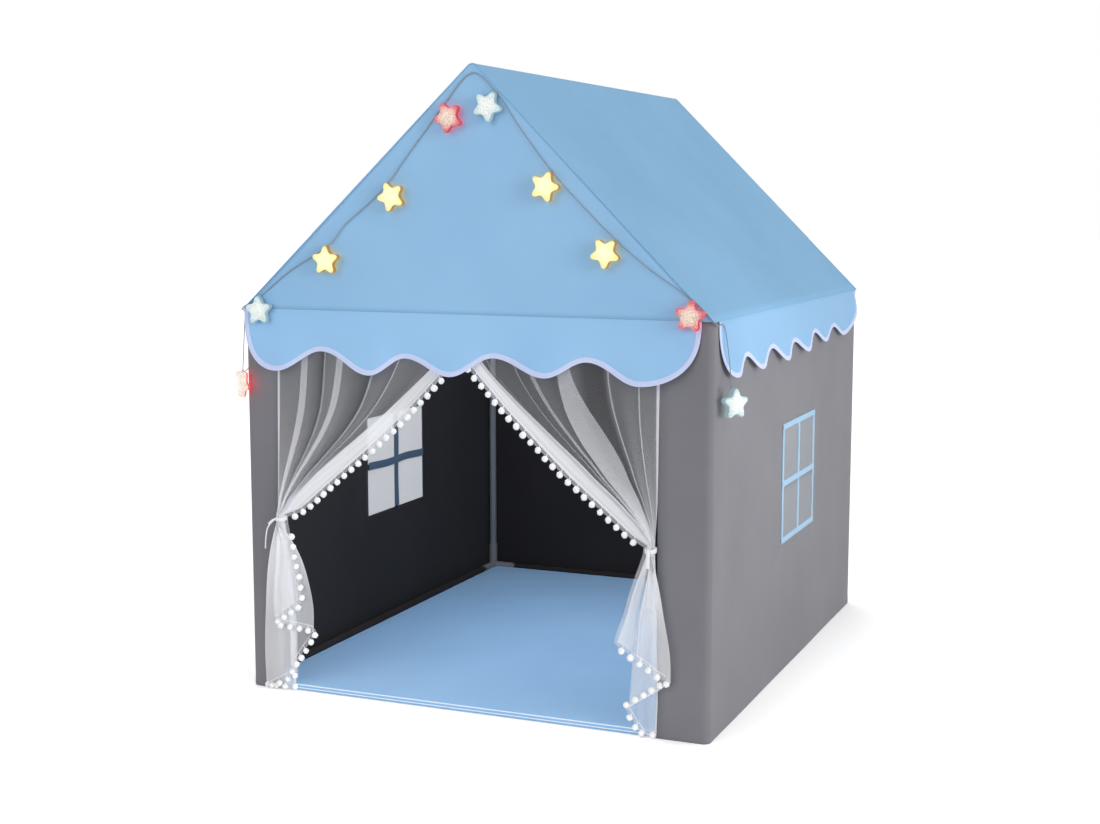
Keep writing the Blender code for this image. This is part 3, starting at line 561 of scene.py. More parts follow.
# Valances
# Scalloped flaps of the roof's polyester hang all round from the eave seam, in painted shades:
# lighter at the front and back, darker at the sides. Their free edge is bound with a pale
# lilac-blue bias tape that stands a little proud of the cloth.

bias_tape = woven_cloth("lilac-blue bias binding", "#C9D3F3", "#C2CCEE", 1.0, 0.75, 0.3, 0.6)
# The end valances are painted lighter and the side valances darker, for how light falls on them.
valance_cloth = woven_cloth("light blue polyester, painted lighter for the end valances", "#99C5EC", "#94C0E8", 1.2, 0.8,
                            0.10)
side_valance_cloth_painted_shade = woven_cloth("light blue polyester, painted shade for the side valances", "#8FBADF", "#8AB5DB", 1.2,
                                 0.8, 0.10)
seam_allowance = 0.0030         # how far a valance reaches up behind the cloth above, and in
tape_wide, tape_thick = 0.0052, 0.0015      # half the binding's width, and of its thickness


def wavy(place, keys):
    """A wave through (place, value) keys: level at each, and a half cosine between two."""
    keys = np.array(keys)
    i = np.clip(np.searchsorted(keys[:, 0], place) - 1, 0, len(keys) - 2)
    share = np.clip((place - keys[i, 0]) / (keys[i + 1, 0] - keys[i, 0]), 0, 1)
    return keys[i, 1] + (keys[i + 1, 1] - keys[i, 1]) * (1 - np.cos(np.pi * share)) / 2


def scallop_edge(low_half, high_half, keys):
    """The free edge of a valance as (place, depth): a quarter superellipse at each end, and a
    wave between, whose keys are by turns the tip of a lobe and the notch beside it."""
    turn = np.linspace(np.pi / 2, 0, 27)[:-1]
    (first, low_depth), (last, high_depth) = keys[0], keys[-1]
    round_off = np.cos(turn) ** 0.72
    low = np.stack([first - (first + low_half) * np.sin(turn), low_depth * round_off], axis=1)
    high = np.stack([last + (high_half - last) * np.sin(turn), high_depth * round_off], axis=1)
    place = np.linspace(first, last, 26 * (len(keys) - 1) // 2 * 2 + 1)
    return np.vstack([low, np.stack([place, wavy(place, keys)], axis=1), high[::-1]])


def hang_valance(name, node, body, low_half, high_half, keys, flare, curl, where, seed, turned):
    """Cloth and binding of one valance. It stands off its wall by flare at the lobes' tips,
    growing with the square of the depth, and less at the notches, and its high end curls out
    by curl; where turns place, stand-off and drop into a point."""
    lobe_depth = keys[0][1]
    tips = [(place, 1 - 2 * (i % 2)) for i, (place, depth) in enumerate(keys)]

    def stand_off(place, drop):
        past = np.interp(place, [-low_half, tips[0][0], tips[-1][0], high_half], [-0.2, 1, 1, -0.2])
        swell = 1 + 0.22 * wavy(place, tips) * past
        reach = np.clip(drop / lobe_depth, 0, 1.1)
        seam = 0.0003 * np.exp(-(drop / seam_reach) ** 2)
        end = curl * np.exp(-((high_half - place) / 0.05) ** 2) * np.sin(2.6 * np.clip(reach, 0, 1))
        return (flare * reach ** 2 * swell + end - seam
                + creases(place, drop, 0.16, 0.0009, seed) * reach)

    edge = scallop_edge(low_half, high_half, keys)
    down = np.linspace(1, 0, 15) ** 0.9
    drop = edge[None, :, 1] * down[:, None]
    if body == "tent":
        # The last row is the seam allowance, tucked up behind the cloth above.
        drop = np.vstack([drop, np.full((1, len(edge)), -seam_allowance)])
    place = np.repeat(edge[None, :, 0], len(drop), axis=0)
    place[-1] = np.clip(place[-1], -low_half + 0.006, high_half - 0.006)
    tuck = np.where(drop < 0, seam_allowance, 0.0004)
    points = where(place, stand_off(place, drop) - tuck, drop)
    order = slice(None, None, -1) if turned else slice(None)
    cloth = surface(name, points[:, order], np.stack([place, drop], axis=-1)[:, order])
    # Side valances take the darker painted shade, the front and back ones the lighter.
    clad(cloth, side_valance_cloth_painted_shade if curl else valance_cloth, roof_lining)
    thicken(cloth, 0.0012, 0.0, 1)
    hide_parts(node)
    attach(cloth, body)
    # The tape folds over the edge: a flat oval, 10 mm wide, whose outer side is the edge.
    run = length_along(edge)
    dense = np.linspace(0, run[-1], int(run[-1] / 0.004))
    line = averaged(points_at(dense, run, edge), 3)
    tangent = unit(np.gradient(line, axis=0))
    inner = np.stack([tangent[:, 1], -tangent[:, 0]], axis=1)
    turn = np.linspace(0, 2 * np.pi, 16, endpoint=False)
    wide = tape_wide * (1 - np.sign(np.cos(turn)) * np.abs(np.cos(turn)) ** 0.7)
    thick = tape_thick * np.sign(np.sin(turn)) * np.abs(np.sin(turn)) ** 0.6
    flat = line[:, None, :] + inner[:, None, :] * (wide - 0.0006)[None, :, None]
    puckers = 1 + 0.12 * np.sin(dense * 2 * np.pi / 0.021)[:, None] * (thick[None, :] > 0)
    off = stand_off(flat[..., 0], flat[..., 1]) - 0.0004 + thick[None, :] * puckers
    points = where(flat[..., 0], off, flat[..., 1])
    u, v = np.meshgrid(np.linspace(0, 0.024, 17), dense)
    binding = surface(name + "_binding", points, np.stack([v, u], axis=-1), wrap_columns=True)
    clad(binding, bias_tape)
    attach(binding, body)


# Where each lobe's tip and each notch is, and how far it hangs down: cut by hand, so uneven.
front_keys = [(-0.4255, 0.126), (-0.3290, 0.083), (-0.2035, 0.127), (-0.1330, 0.0905),
              (-0.0216, 0.1225), (0.0655, 0.083), (0.1836, 0.117), (0.2654, 0.0835),
              (0.3811, 0.1245)]
side_keys = [(-0.4950, 0.114), (-0.4125, 0.080), (-0.3210, 0.114), (-0.2170, 0.080),
             (-0.1190, 0.1145), (-0.0270, 0.082), (0.0700, 0.111), (0.1600, 0.075),
             (0.2480, 0.103), (0.3460, 0.075), (0.4380, 0.102)]
for end, sign in (("front", -1), ("back", 1)):
    hang_valance(f"valance_cloth_{end}", f"valance_{end}", "tent" if sign < 0 else "valance_back",
                 0.518, 0.496, front_keys, 0.024, 0.0,
                 lambda place, off, drop, sign=sign: np.stack(
                     [-sign * place, sign * (end_face + off), eave_z - 0.0003 - drop], axis=-1),
                 41, False)
for side, sign in (("left", -1), ("right", 1)):
    hang_valance(f"valance_cloth_{side}", f"valance_{side}", "tent",
                 0.588, 0.588, side_keys, 0.012, 0.010,
                 lambda place, off, drop, sign=sign: np.stack(
                     [sign * (side_face + off), place, eave_z - 0.0015 - drop], axis=-1),
                 43, sign < 0)

# Floor mat
# A thin foam pad in light blue brushed polyester lies on the floor between the posts. A
# piping cord runs round its top and its bottom edge, white along the doorway, so that the
# front shows two lines, and blue along the walls.

mat_blue = woven_cloth("light blue brushed polyester", "#8DBDE8", "#87B7E3", 1.4, 0.85, 0.4)
piping_white = woven_cloth("white piping", "#EEF2FA", "#E6ECF6", 0.8, 0.7, 0.2)
mat_half, mat_low, mat_high = 0.4928, -0.6181, 0.5928
piping_radius, piping_levels = 0.0013, {"top": 0.0128, "bottom": 0.0062}


def mat_ring(inset, radius=0.020, count=9):
    """The mat's outline seen from above, drawn inset: a rectangle with quarter-circle corners."""
    rings = []
    for sx, y, sy, start in ((1, mat_low, -1, -90), (1, mat_high, 1, 0), (-1, mat_high, 1, 90),
                             (-1, mat_low, -1, 180)):
        turn = np.radians(start + np.linspace(0, 90, count))
        rings.append(np.stack([sx * (mat_half - radius) + (radius - inset) * np.cos(turn),
                               y - sy * radius + (radius - inset) * np.sin(turn)], axis=1))
    return np.vstack(rings)


def dense_loop(loop, step):
    """A closed line with its long sides divided, a point about every step."""
    closed = np.vstack([loop, loop[:1]])
    parts = []
    for a, b in zip(closed[:-1], closed[1:]):
        count = max(1, int(np.ceil(np.linalg.norm(b - a) / step)))
        parts.append(a + (b - a) * (np.arange(count) / count)[:, None])
    return np.vstack(parts)


edge_loop = dense_loop(mat_ring(0.0012), 0.03)
middle = np.array([0.0, (mat_low + mat_high) / 2])
# From the middle of the underside round the edge to the middle of the top: size, and height.
levels = [(0.02, 0.0006), (0.6, 0.0006), (0.97, 0.0006), (1.0, 0.0016), (1.0, 0.0045),
          (1.0012, 0.0068), (1.0, 0.0092), (1.0, 0.0120), (0.99, 0.0138), (0.96, 0.0146),
          (0.90, 0.0152), (0.8, 0.0158), (0.68, 0.0161), (0.54, 0.0163), (0.4, 0.0164),
          (0.26, 0.0165), (0.12, 0.0165), (0.01, 0.0165)]
rings = []
for share, height in levels:
    ring = middle + (edge_loop - middle) * share
    lift = np.full(len(ring), height)
    if height > 0.0136 and share < 0.985:
        lift = lift + creases(ring[:, 0], ring[:, 1], 0.30, 0.0009, 51) * min(1.0, (1 - share) * 12)
    rings.append(np.column_stack([ring, lift]))
rings = np.array(rings)
uv = np.stack([rings[..., 0], rings[..., 1] + rings[..., 2]], axis=-1)
mat = surface("mat_pad", rings, np.concatenate([uv, uv[:, :1]], axis=1), wrap_columns=True)
clad(mat, mat_blue)
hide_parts("floor_mat")
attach(mat, "tent")
loop = dense_loop(mat_ring(0.0014), 0.02)
way = unit(np.roll(loop, -1, axis=0) - np.roll(loop, 1, axis=0))
outward = np.column_stack([way[:, 1], -way[:, 0], np.zeros(len(loop))])
upward = np.tile([0.0, 0.0, 1.0], (len(loop), 1))
u, v = np.meshgrid(np.linspace(0, 0.011, 11), np.linspace(0, 4.3, len(loop) + 1))
for place, height in piping_levels.items():
    path = np.column_stack([loop, np.full(len(loop), height)])
    rings = rings_along(path, oval(piping_radius, piping_radius, 10), outward, upward)
    piping = surface(f"mat_piping_{place}", rings, np.stack([v, u], axis=-1), wrap_rows=True,
                     wrap_columns=True)
    clad(piping, piping_white, mat_blue)
    at_doorway = np.array([face.center.y < mat_low + 0.02 for face in piping.data.polygons])
    piping.data.polygons.foreach_set("material_index", np.where(at_doorway, 0, 1))
    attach(piping, "tent")

# Curtains
# A sheer tulle curtain hangs each side of the doorway from the front eave rail, with sewn
# pleats that gather at a ribbon tie. The net is doubled along its leading edge, a strip of
# coarser net with a fringe of pom-poms is sewn to that edge and to the hem, and below the
# tie the tail falls in zigzag folds.

knot_y, knot_z, tie_half = -0.6318, 0.380, 0.009        # the tie's place, and half of its width
fringe_step, pompom_radius = 0.0219, 0.0067


def tulle(name, code, hole_mm):
    """Nylon tulle: a hexagonal net too fine to see, drawn at hole_mm as a faint speckle. The
    share it covers comes with the cloth, from the cover value on its points, because pleats
    gather more threads; between the folds that value is thinned as painted shade. Some light
    shines through it."""
    material, tree = start_material(name)
    uv = add(tree, "UVMap", uv_map="cloth").outputs[0]
    cover = add(tree, "Attribute", attribute_name="cover").outputs["Fac"]
    cells = add(tree, "TexVoronoi", {"Vector": uv, "Scale": 1000 / hole_mm, "Randomness": 0.6},
                voronoi_dimensions="2D")
    speckle = add(tree, "MapRange", {0: cells.outputs["Distance"], 1: 0.1, 2: 0.7, 3: 0.90,
                                     4: 1.10})
    share = add(tree, "Math", {0: cover, 1: speckle.outputs[0]}, operation="MULTIPLY",
                use_clamp=True)
    close_net(tree, code, share.outputs[0], 0.2, 0.75, 0.2)
    return material


def white_thread(name, code, roughness, fluff_mm):
    """Cut yarn in white polyester: matt, with the lift of short fibres."""
    material, tree = start_material(name)
    place = add(tree, "TexCoord").outputs["Object"]
    fluff = add(tree, "TexNoise", {"Vector": place, "Scale": 1000 / fluff_mm, "Detail": 4.0,
                                   "Roughness": 0.7})
    bump = add(tree, "Bump", {"Height": fluff.outputs[0], "Strength": 0.6, "Distance": 0.001})
    shader = add(tree, "BsdfPrincipled", {
        "Base Color": linear(code), "Roughness": roughness, "Specular IOR Level": 0.2,
        "Sheen Weight": 0.4, "Sheen Roughness": 0.5, "Normal": bump.outputs[0],
        "Subsurface Weight": 0.2, "Subsurface Scale": 0.004})
    close_material(tree, shader)
    return material


curtain_net = tulle("white nylon tulle", "#FBFBFE", 1.8)
pompom_yarn = white_thread("white pom-pom yarn", "#FBFBFC", 0.9, 1.2)
edging_net = net_cloth("white net edging", "#F6F6F9", 0.20, 1.5, 0.15)


def fold_lines(folds, steps=420):
    """How the veil's cloth lies across the curtain, at the rail and near the tie: the share
    across it of each column, and how far forward it is. Each pleat (place and width at the
    rail, then near the tie) runs forward past its place, back under itself and on, so three
    layers overlap over its width."""
    found = []
    for low in (0, 2):
        keys = [(0.0, 0.0)]
        for pleat in folds:
            place, width = pleat[low:low + 2]
            low_side, high_side = place - width / 2, place + width / 2
            keys += [(high_side, 0.0), (high_side + 0.001, 0.5), (low_side, 1.0),
                     (low_side - 0.001, 0.6), (high_side + 0.002, 0.1)]
        found.append(np.array(keys + [(1.0, 0.0)]))
    run = length_along(found[0] * [1.0, 0.01])
    dense = np.linspace(0, run[-1], steps)
    return [averaged(points_at(dense, run, keys), 2) for keys in found]


def through(z, keys):
    """A smooth curve through (height, value) keys: straight runs whose corners are rounded by
    averaging each point with its neighbours."""
    keys = np.array(keys)
    height = np.linspace(keys[0, 0], keys[-1, 0], 240)
    return np.interp(z, height, averaged(np.interp(height, keys[:, 0], keys[:, 1]), 25))


# How wide the doubled band lies, level by level, before it is gathered into the tie.
band_keys = [(0.389, 0.011), (0.396, 0.026), (0.42, 0.043), (0.48, 0.053), (0.54, 0.054),
             (0.62, 0.044), (0.70, 0.033), (0.82, 0.028)]


def tail_rows(m, w, start, foot_z, hem_points, bow):
    """The tail's rows of points, w of the way down, from the row start in the tie to a hem that
    zigzags from the outer hem to the leading edge through hem_points, as (share across, x, z,
    y). m is each column's share across, and bow how strongly the outer and the leading parts
    bow out."""
    hem_keys = np.array(hem_points)
    round_m = np.linspace(0, 1, 600)
    hem_line = averaged(points_at(round_m, hem_keys[:, 0], hem_keys[:, 1:]), 60)
    hem_x, hem_z, hem_y = points_at(m, round_m, hem_line).T
    spread = 1 - (1 - w) ** 2.6
    flare = 1 - (1 - w) ** (bow[0] + (bow[1] - bow[0]) * m ** 2)
    x = start[:, 0] + (hem_x - start[:, 0]) * flare
    x = x + 0.0012 * np.sin(2 * np.pi * (1.7 * w + 3.1 * m)) * spread
    y = start[:, 1] + (hem_y - start[:, 1]) * spread
    y = y + 0.0016 * np.sin(2 * np.pi * (7.3 * m + 0.35 * w)) * spread
    z = foot_z + (hem_z - foot_z) * w
    return np.stack([x, y, z], axis=-1)


def net_cover(m, v, w, veil, gap, layer_cover, density_and_fold_shade, band_top, band_fold, tail_cover,
              tail_layers):
    """The share of light that the net stops at each point of a curtain, in rows by columns: v
    down the drape, three rows in the tie, w down the tail. layer_cover is one layer's, and
    grows as the gap from outer hem to band narrows; the density factor, by (share across the
    veil, factor), is partly the threads that pleats gather and partly painted shade in the gaps
    between folds; band_top is the band's cover at the rail, band_fold the share of the band's
    width that is single, tail_cover the tail's cover below the tie and at the hem, and
    tail_layers its factor by share across."""
    packed = np.clip(0.44 / gap, 1, 16) ** 0.62
    down_tail = smooth_step(w / 0.75)
    layer = np.concatenate([1 - (1 - layer_cover) ** packed, np.full(3, 0.95),
                            tail_cover[0] + (tail_cover[1] - tail_cover[0]) * down_tail])
    # The density factor is partly gathered threads and partly painted shade between the folds.
    density_and_fold_shade = np.array(density_and_fold_shade)
    gathers_and_fold_shade = np.concatenate([np.interp(veil, density_and_fold_shade[:, 0], density_and_fold_shade[:, 1]),
                              np.ones(len(m) - len(veil))])
    in_veil = np.concatenate([1 - smooth_step((v - 0.72) / 0.28), np.zeros(3 + len(w))])
    gathers_and_fold_shade = 1 + (gathers_and_fold_shade[None, :] - 1) * in_veil[:, None]
    cover = np.repeat(layer[:, None], len(m), axis=1) * gathers_and_fold_shade
    # The band is two layers, and streaked where they slide over each other.
    in_band = smooth_step((m - 0.862) / 0.004)[None, :]
    band_cover = np.concatenate([band_top + (0.88 - band_top) * smooth_step(v / 0.85),
                                 np.full(3 + len(w), 0.90)])
    single = 0.138 * band_fold
    across_band = np.interp(m, [0.862, 0.862 + single, 0.866 + single, 0.968, 0.974, 0.980, 1.0],
                            [0.66, 0.72, 1.0, 1.0, 0.72, 1.03, 1.03])
    drift = 0.6 * np.sin(9 * np.arange(len(layer)) / 84)[:, None]
    streaks = across_band[None, :] * (1 + 0.03 * np.sin(2 * np.pi * (m[None, :] * 21 + drift)))
    cover = cover + (np.maximum(cover, band_cover[:, None] * streaks) - cover) * in_band
    # Below the tie the folds lie over each other, and every hem is a double edge.
    tail_layers = np.array(tail_layers)
    in_tail = np.concatenate([np.zeros(len(v) + 3), smooth_step(w / 0.25)])[:, None]
    layers = 1 + (np.interp(m, tail_layers[:, 0], tail_layers[:, 1])[None, :] - 1) * in_tail
    cover = np.clip(cover * layers, 0, 0.97)
    stitched = np.exp(-((m - 0.866) / 0.0035) ** 2)[None, :]
    outer_hem = smooth_step((0.012 - m) / 0.004)[None, :]
    cover = np.maximum(cover, 0.85 * np.maximum(stitched, outer_hem * 0.8))
    to_hem = np.concatenate([np.zeros(len(v) + 3), w])
    cover = np.maximum(cover, (smooth_step((to_hem - 0.985) / 0.008) * 0.8)[:, None])
    cover[:, m > 0.864] *= (1 - 0.35 * smooth_step(to_hem * 2.5))[:, None]
    return cover


def make_curtain(side, hem_x, inward, knot_x, lead_keys, folds, hem_points, tail_bow, **covers):
    """One curtain as one grid of cloth, hem to hem: rows run from the rail to the tie and on to
    the floor; columns run from the outer hem across the veil and the band to the leading edge.
    lead_keys say where the leading edge is at each height; covers are net_cover's."""
    veil, veil_low = fold_lines(folds)
    columns = len(veil)
    band = np.linspace(0, 1, 26)[1:]
    m_veil = np.linspace(0, 0.86, columns)
    m = np.concatenate([m_veil, 0.86 + 0.14 * band])
    # Drape, from the rail to the tie.
    v = (1 - (1 - np.linspace(0, 1, 84)) ** 1.25)[:, None]
    head_z, tie_top, tie_foot = 0.8200, knot_z + tie_half, knot_z - tie_half
    z = head_z + (tie_top - head_z) * v
    lead = through(z, lead_keys)
    gather = smooth_step((v - 0.62) / 0.38)             # 0 in the open cloth, 1 in the tie
    outer = hem_x + (knot_x - inward * 0.0085 - hem_x) * smooth_step((v - 0.80) / 0.20)
    band_wide = inward * through(z, band_keys)
    band_start = lead - band_wide
    bunch = 1 + 0.9 * smooth_step((v - 0.10) / 0.65)    # how the pleats crowd to the band
    shift = smooth_step((v - 0.18) / 0.5)               # from the rail's pleats to the tie's
    across = veil[None, :, 0] * (1 - shift) + veil_low[None, :, 0] * shift
    x_veil = outer + (band_start - outer) * (1 - (1 - np.clip(across, 0, 1)) ** bunch)
    x_band = band_start + band_wide * band[None, :]
    x = np.concatenate([x_veil, x_band], axis=1)
    head_y = -0.6184
    middle = head_y + (knot_y - head_y) * smooth_step(v ** 0.8)
    swell = (0.0010 + 0.0062 * smooth_step((v - 0.05) / 0.9)) * (1 - 0.15 * gather)
    wave = (np.sin(2 * np.pi * 4.3 * m + 0.8) + 0.55 * np.sin(2 * np.pi * 9.1 * m + 2.1)
            + 0.35 * np.sin(2 * np.pi * 14.7 * m + 4.0)) / 1.5
    flatten = 1 - 0.75 * smooth_step((m - 0.80) / 0.1)  # the band waves less
    depth = swell * wave[None, :] * (flatten[None, :] * (1 - gather) + gather)
    forward = np.concatenate([veil[:, 1], np.zeros(len(band))])
    depth = depth - (0.0012 + 0.0035 * smooth_step(v / 0.6)) * forward[None, :]
    depth[:, columns:] -= 0.0015 * (1 - gather)
    room = np.sqrt(np.clip(1 - (2 * m - 1) ** 2 * 0.86, 0.05, 1))       # a round bundle
    y = middle + depth * (1 - gather + gather * room[None, :])
    drape = np.stack([x, y, np.repeat(z, len(m), axis=1)], axis=-1)
    start = drape[-1]
    w = np.linspace(0, 1, 64)[1:, None]
    tail = tail_rows(m, w, start, tie_foot, hem_points, tail_bow)
    tie_rows = np.stack([start * [1, 1, 0] + [0, 0, knot_z + h] for h in (0.004, -0.004)])
    foot = (start * [1, 1, 0] + [0, 0, tie_foot])[None]
    points = np.concatenate([drape, tie_rows, foot, tail])
    cover = net_cover(m, v[:, 0], w[:, 0], veil[:, 0], np.abs(lead - outer)[:, 0], **covers)
    run_u = np.concatenate([[0], np.cumsum(np.abs(np.diff(m)) * 0.52)])
    u, v = np.meshgrid(run_u, length_along(points[:, 0]))
    order = slice(None, None, inward)
    cloth = surface(f"tulle_{side}", points[:, order], np.stack([u, v], axis=-1)[:, order],
                    values={"cover": cover[:, order]})
    clad(cloth, curtain_net)
    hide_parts(f"curtain_{side}")
    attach(cloth, "tent")
    # The edge the fringe is sewn to: down the leading edge, then out along the hem.
    lead_edge = points[:, -1]
    hem_edge = points[-1, ::-1]
    return cloth, points, lead_edge[lead_edge[:, 2] < 0.762], hem_edge[1:]


def resample(line, step, start=0.0):
    """Points every step along a line, and the line's direction at each, from the places 4 mm
    ahead and behind."""
    run = length_along(line)
    apart = np.concatenate([[True], np.diff(run) > 1e-7])
    run, line = run[apart], line[apart]
    at = np.arange(start, run[-1], step)
    ahead = points_at(np.minimum(at + 0.004, run[-1]), run, line)
    behind = points_at(np.maximum(at - 0.004, 0), run, line)
    return points_at(at, run, line), unit(ahead - behind)


def outwards(way, inward):
    """At right angles to the edge in the curtain's plane, away from the cloth."""
    out = np.cross(way, [0.0, 1.0, 0.0])
    out *= np.where((out @ np.array([inward, 0, -0.6]))[:, None] < 0, -1, 1)
    return unit(out)


def edging_mesh(name, line, inward):
    """The strip of net that the fringe is knotted to: 9 mm wide, sewn on along the edge."""
    points, way = resample(line, 0.004)
    face = np.tile([0.0, -1.0, 0.0], (len(points), 1))
    across = outwards(way, inward)
    for _ in range(6):
        across = unit(averaged(across, 1))
    section = oval(0.0045, 0.0006, 8) + [0.0030, 0.0]
    # Along the hem's foot the strip stands on the floor.
    across[:, 2] = np.maximum(across[:, 2], (0.0006 - points[:, 2]) / 0.0075)
    edging = carried(name, points, section, across, face)
    clad(edging, edging_net)
    return edging


def ball(rings=7, sides=10):
    """A unit ball as a grid of rings between two poles: points, and the faces that join them."""
    lat = np.linspace(0, np.pi, rings + 1)[1:-1]
    lon = np.linspace(0, 2 * np.pi, sides, endpoint=False)
    body = np.stack([np.outer(np.sin(lat), np.cos(lon)), np.outer(np.sin(lat), np.sin(lon)),
                     np.outer(np.cos(lat), np.ones(sides))], axis=-1).reshape(-1, 3)
    points = np.vstack([[0, 0, 1], body, [0, 0, -1]])
    faces = [(0, 1 + i, 1 + (i + 1) % sides) for i in range(sides)]
    for r in range(rings - 2):
        a, b = 1 + r * sides, 1 + (r + 1) * sides
        faces += [(a + i, b + i, b + (i + 1) % sides, a + (i + 1) % sides) for i in range(sides)]
    a, last = 1 + (rings - 2) * sides, len(points) - 1
    faces += [(a + i, last, a + (i + 1) % sides) for i in range(sides)]
    return points, faces


def fringe(name, lines_sewn, inward, seed):
    """Pom-poms 22 mm apart along the edge, each on a short thread, but none inside the tie; a
    ball's radius is ruffled a little by seeded noise."""
    chance = np.random.default_rng(seed)
    points, way = map(np.vstack, zip(*[resample(line, fringe_step, 0.012) for line in lines_sewn]))
    loose = np.abs(points[:, 2] - knot_z) > 0.014
    points, way = points[loose], way[loose]
    hang = unit(0.72 * outwards(way, inward) + np.array([0, 0, -0.6]))
    centres = points + hang * chance.uniform(0.0104, 0.0122, len(points))[:, None]
    centres[:, 1] += chance.uniform(-0.0015, 0.0010, len(points))
    centres[:, 2] = np.maximum(centres[:, 2], 0.0078)
    shape, faces = ball()
    thread = np.column_stack([oval(0.0007, 0.0007, 4), np.zeros(4)])
    verts, all_faces = [], []
    for centre, start in zip(centres, points):
        radius = pompom_radius * chance.uniform(0.93, 1.07)
        ruffle = 1 + 0.06 * chance.standard_normal(len(shape))[:, None]
        base = sum(len(v) for v in verts)
        verts.append(centre + shape * radius * ruffle)
        all_faces += [tuple(base + i for i in face) for face in faces]
        base += len(shape)
        verts.append(np.vstack([start + thread, centre + thread]))
        all_faces += [(base + i, base + 4 + i, base + 4 + (i + 1) % 4, base + (i + 1) % 4)
                      for i in range(4)]
        all_faces += [(base, base + 1, base + 2, base + 3),
                      (base + 7, base + 6, base + 5, base + 4)]
    mesh = bpy.data.meshes.new(name)
    mesh.from_pydata(np.vstack(verts).tolist(), [], all_faces)
    mesh.polygons.foreach_set("use_smooth", np.ones(len(mesh.polygons), dtype=bool))
    mesh.materials.append(pompom_yarn)
    return placed(name, mesh)


# What make_curtain and its docstring ask for, for the left curtain and the right one.
curtains = {
    "left": dict(hem_x=-0.440, inward=1, knot_x=-0.432, layer_cover=0.18, band_top=0.62,
                 band_fold=0.03, tail_cover=(0.86, 0.46), tail_bow=(3.4, 1.2),
                 tail_layers=[(0.0, 1.0), (0.36, 0.9), (0.58, 0.75), (0.62, 0.62), (0.76, 0.62),
                              (0.80, 1.0), (1.0, 1.05)],
                 lead_keys=[(0.389, -0.4235), (0.395, -0.404), (0.404, -0.384), (0.442, -0.340),
                            (0.485, -0.289), (0.550, -0.211), (0.620, -0.135), (0.698, -0.060),
                            (0.757, -0.0006), (0.820, -0.0006)],
                 folds=[(0.17, 0.036, 0.16, 0.040), (0.29, 0.009, 0.29, 0.010),
                        (0.385, 0.040, 0.38, 0.050), (0.60, 0.010, 0.61, 0.014),
                        (0.745, 0.009, 0.74, 0.010)],
                 # Density factors: gathered threads, and painted shade in the gaps between folds.
                 density_and_fold_shade=[(0.0, 1.1), (0.13, 1.0), (0.20, 0.95), (0.25, 0.65), (0.28, 0.32),
                          (0.30, 0.9), (0.36, 1.0), (0.42, 1.0), (0.50, 0.7), (0.58, 0.32),
                          (0.61, 0.9), (0.68, 0.9), (0.73, 0.7), (0.76, 0.9), (0.85, 0.8),
                          (1.0, 0.8)],
                 hem_points=[(0.0, -0.409, 0.0035, -0.6225), (0.14, -0.4880, 0.0045, -0.6255),
                             (0.30, -0.398, 0.0533, -0.6290), (0.36, -0.416, 0.0581, -0.6330),
                             (0.60, -0.3504, 0.1511, -0.6370), (0.80, -0.4523, 0.1618, -0.6410),
                             (1.0, -0.3834, 0.2073, -0.6450)]),
    "right": dict(hem_x=0.4140, inward=-1, knot_x=0.402, layer_cover=0.18, band_top=0.78,
                  band_fold=0.24, tail_cover=(0.82, 0.40), tail_bow=(2.0, 1.0),
                  tail_layers=[(0.0, 0.9), (0.30, 0.65), (0.45, 0.7), (0.62, 1.1), (0.68, 1.0),
                               (0.72, 0.50), (0.88, 0.50), (0.91, 0.9), (0.95, 1.35), (1.0, 1.35)],
                  lead_keys=[(0.389, 0.3935), (0.4055, 0.363), (0.460, 0.297), (0.513, 0.231),
                             (0.575, 0.163), (0.644, 0.0895), (0.715, 0.0206), (0.740, 0.0006),
                             (0.820, 0.0006)],
                  folds=[(0.105, 0.010, 0.09, 0.012), (0.27, 0.010, 0.20, 0.012),
                         (0.515, 0.070, 0.41, 0.300), (0.71, 0.028, 0.61, 0.045),
                         (0.80, 0.010, 0.74, 0.012), (0.96, 0.008, 0.93, 0.008)],
                  # Density factors: gathered threads, and painted shade in the gaps between folds.
                  density_and_fold_shade=[(0.0, 1.3), (0.03, 1.0), (0.10, 0.95), (0.12, 0.9), (0.25, 0.75),
                           (0.275, 0.9), (0.30, 0.35), (0.40, 0.4), (0.47, 0.8), (0.55, 0.9),
                           (0.57, 0.6), (0.68, 0.7), (0.74, 0.6), (0.79, 0.55), (0.82, 0.6),
                           (1.0, 0.6)],
                  hem_points=[(0.0, 0.415, 0.0040, -0.6235), (0.10, 0.3931, 0.0060, -0.6255),
                              (0.30, 0.3583, 0.0590, -0.6310), (0.62, 0.4499, 0.1238, -0.6370),
                              (1.0, 0.3400, 0.1936, -0.6440)]),
}
for side, facts in curtains.items():
    cloth, grid, lead, hem = make_curtain(side, **facts)
    edging = edging_mesh(f"edging_{side}", np.vstack([lead, hem]), facts["inward"])
    # On the right the leading edge is rolled into the tail below the tie, and hides its fringe.
    sewn = [np.vstack([lead, hem])] if side == "left" else [lead[lead[:, 2] > knot_z], hem]
    poms = fringe(f"pompoms_{side}", sewn, facts["inward"], 66 if side == "left" else 67)
    for piece in (edging, poms):
        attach(piece, "tent")

# Curtain ties
# A narrow white satin ribbon is wound round each gathered curtain and knotted, with its
# ends left hanging: one long thin end on the left, a short flat one on the right.

satin = woven_cloth("white satin ribbon", "#EFEFF3", "#E9E9EF", 0.9, 0.5, 0.2)


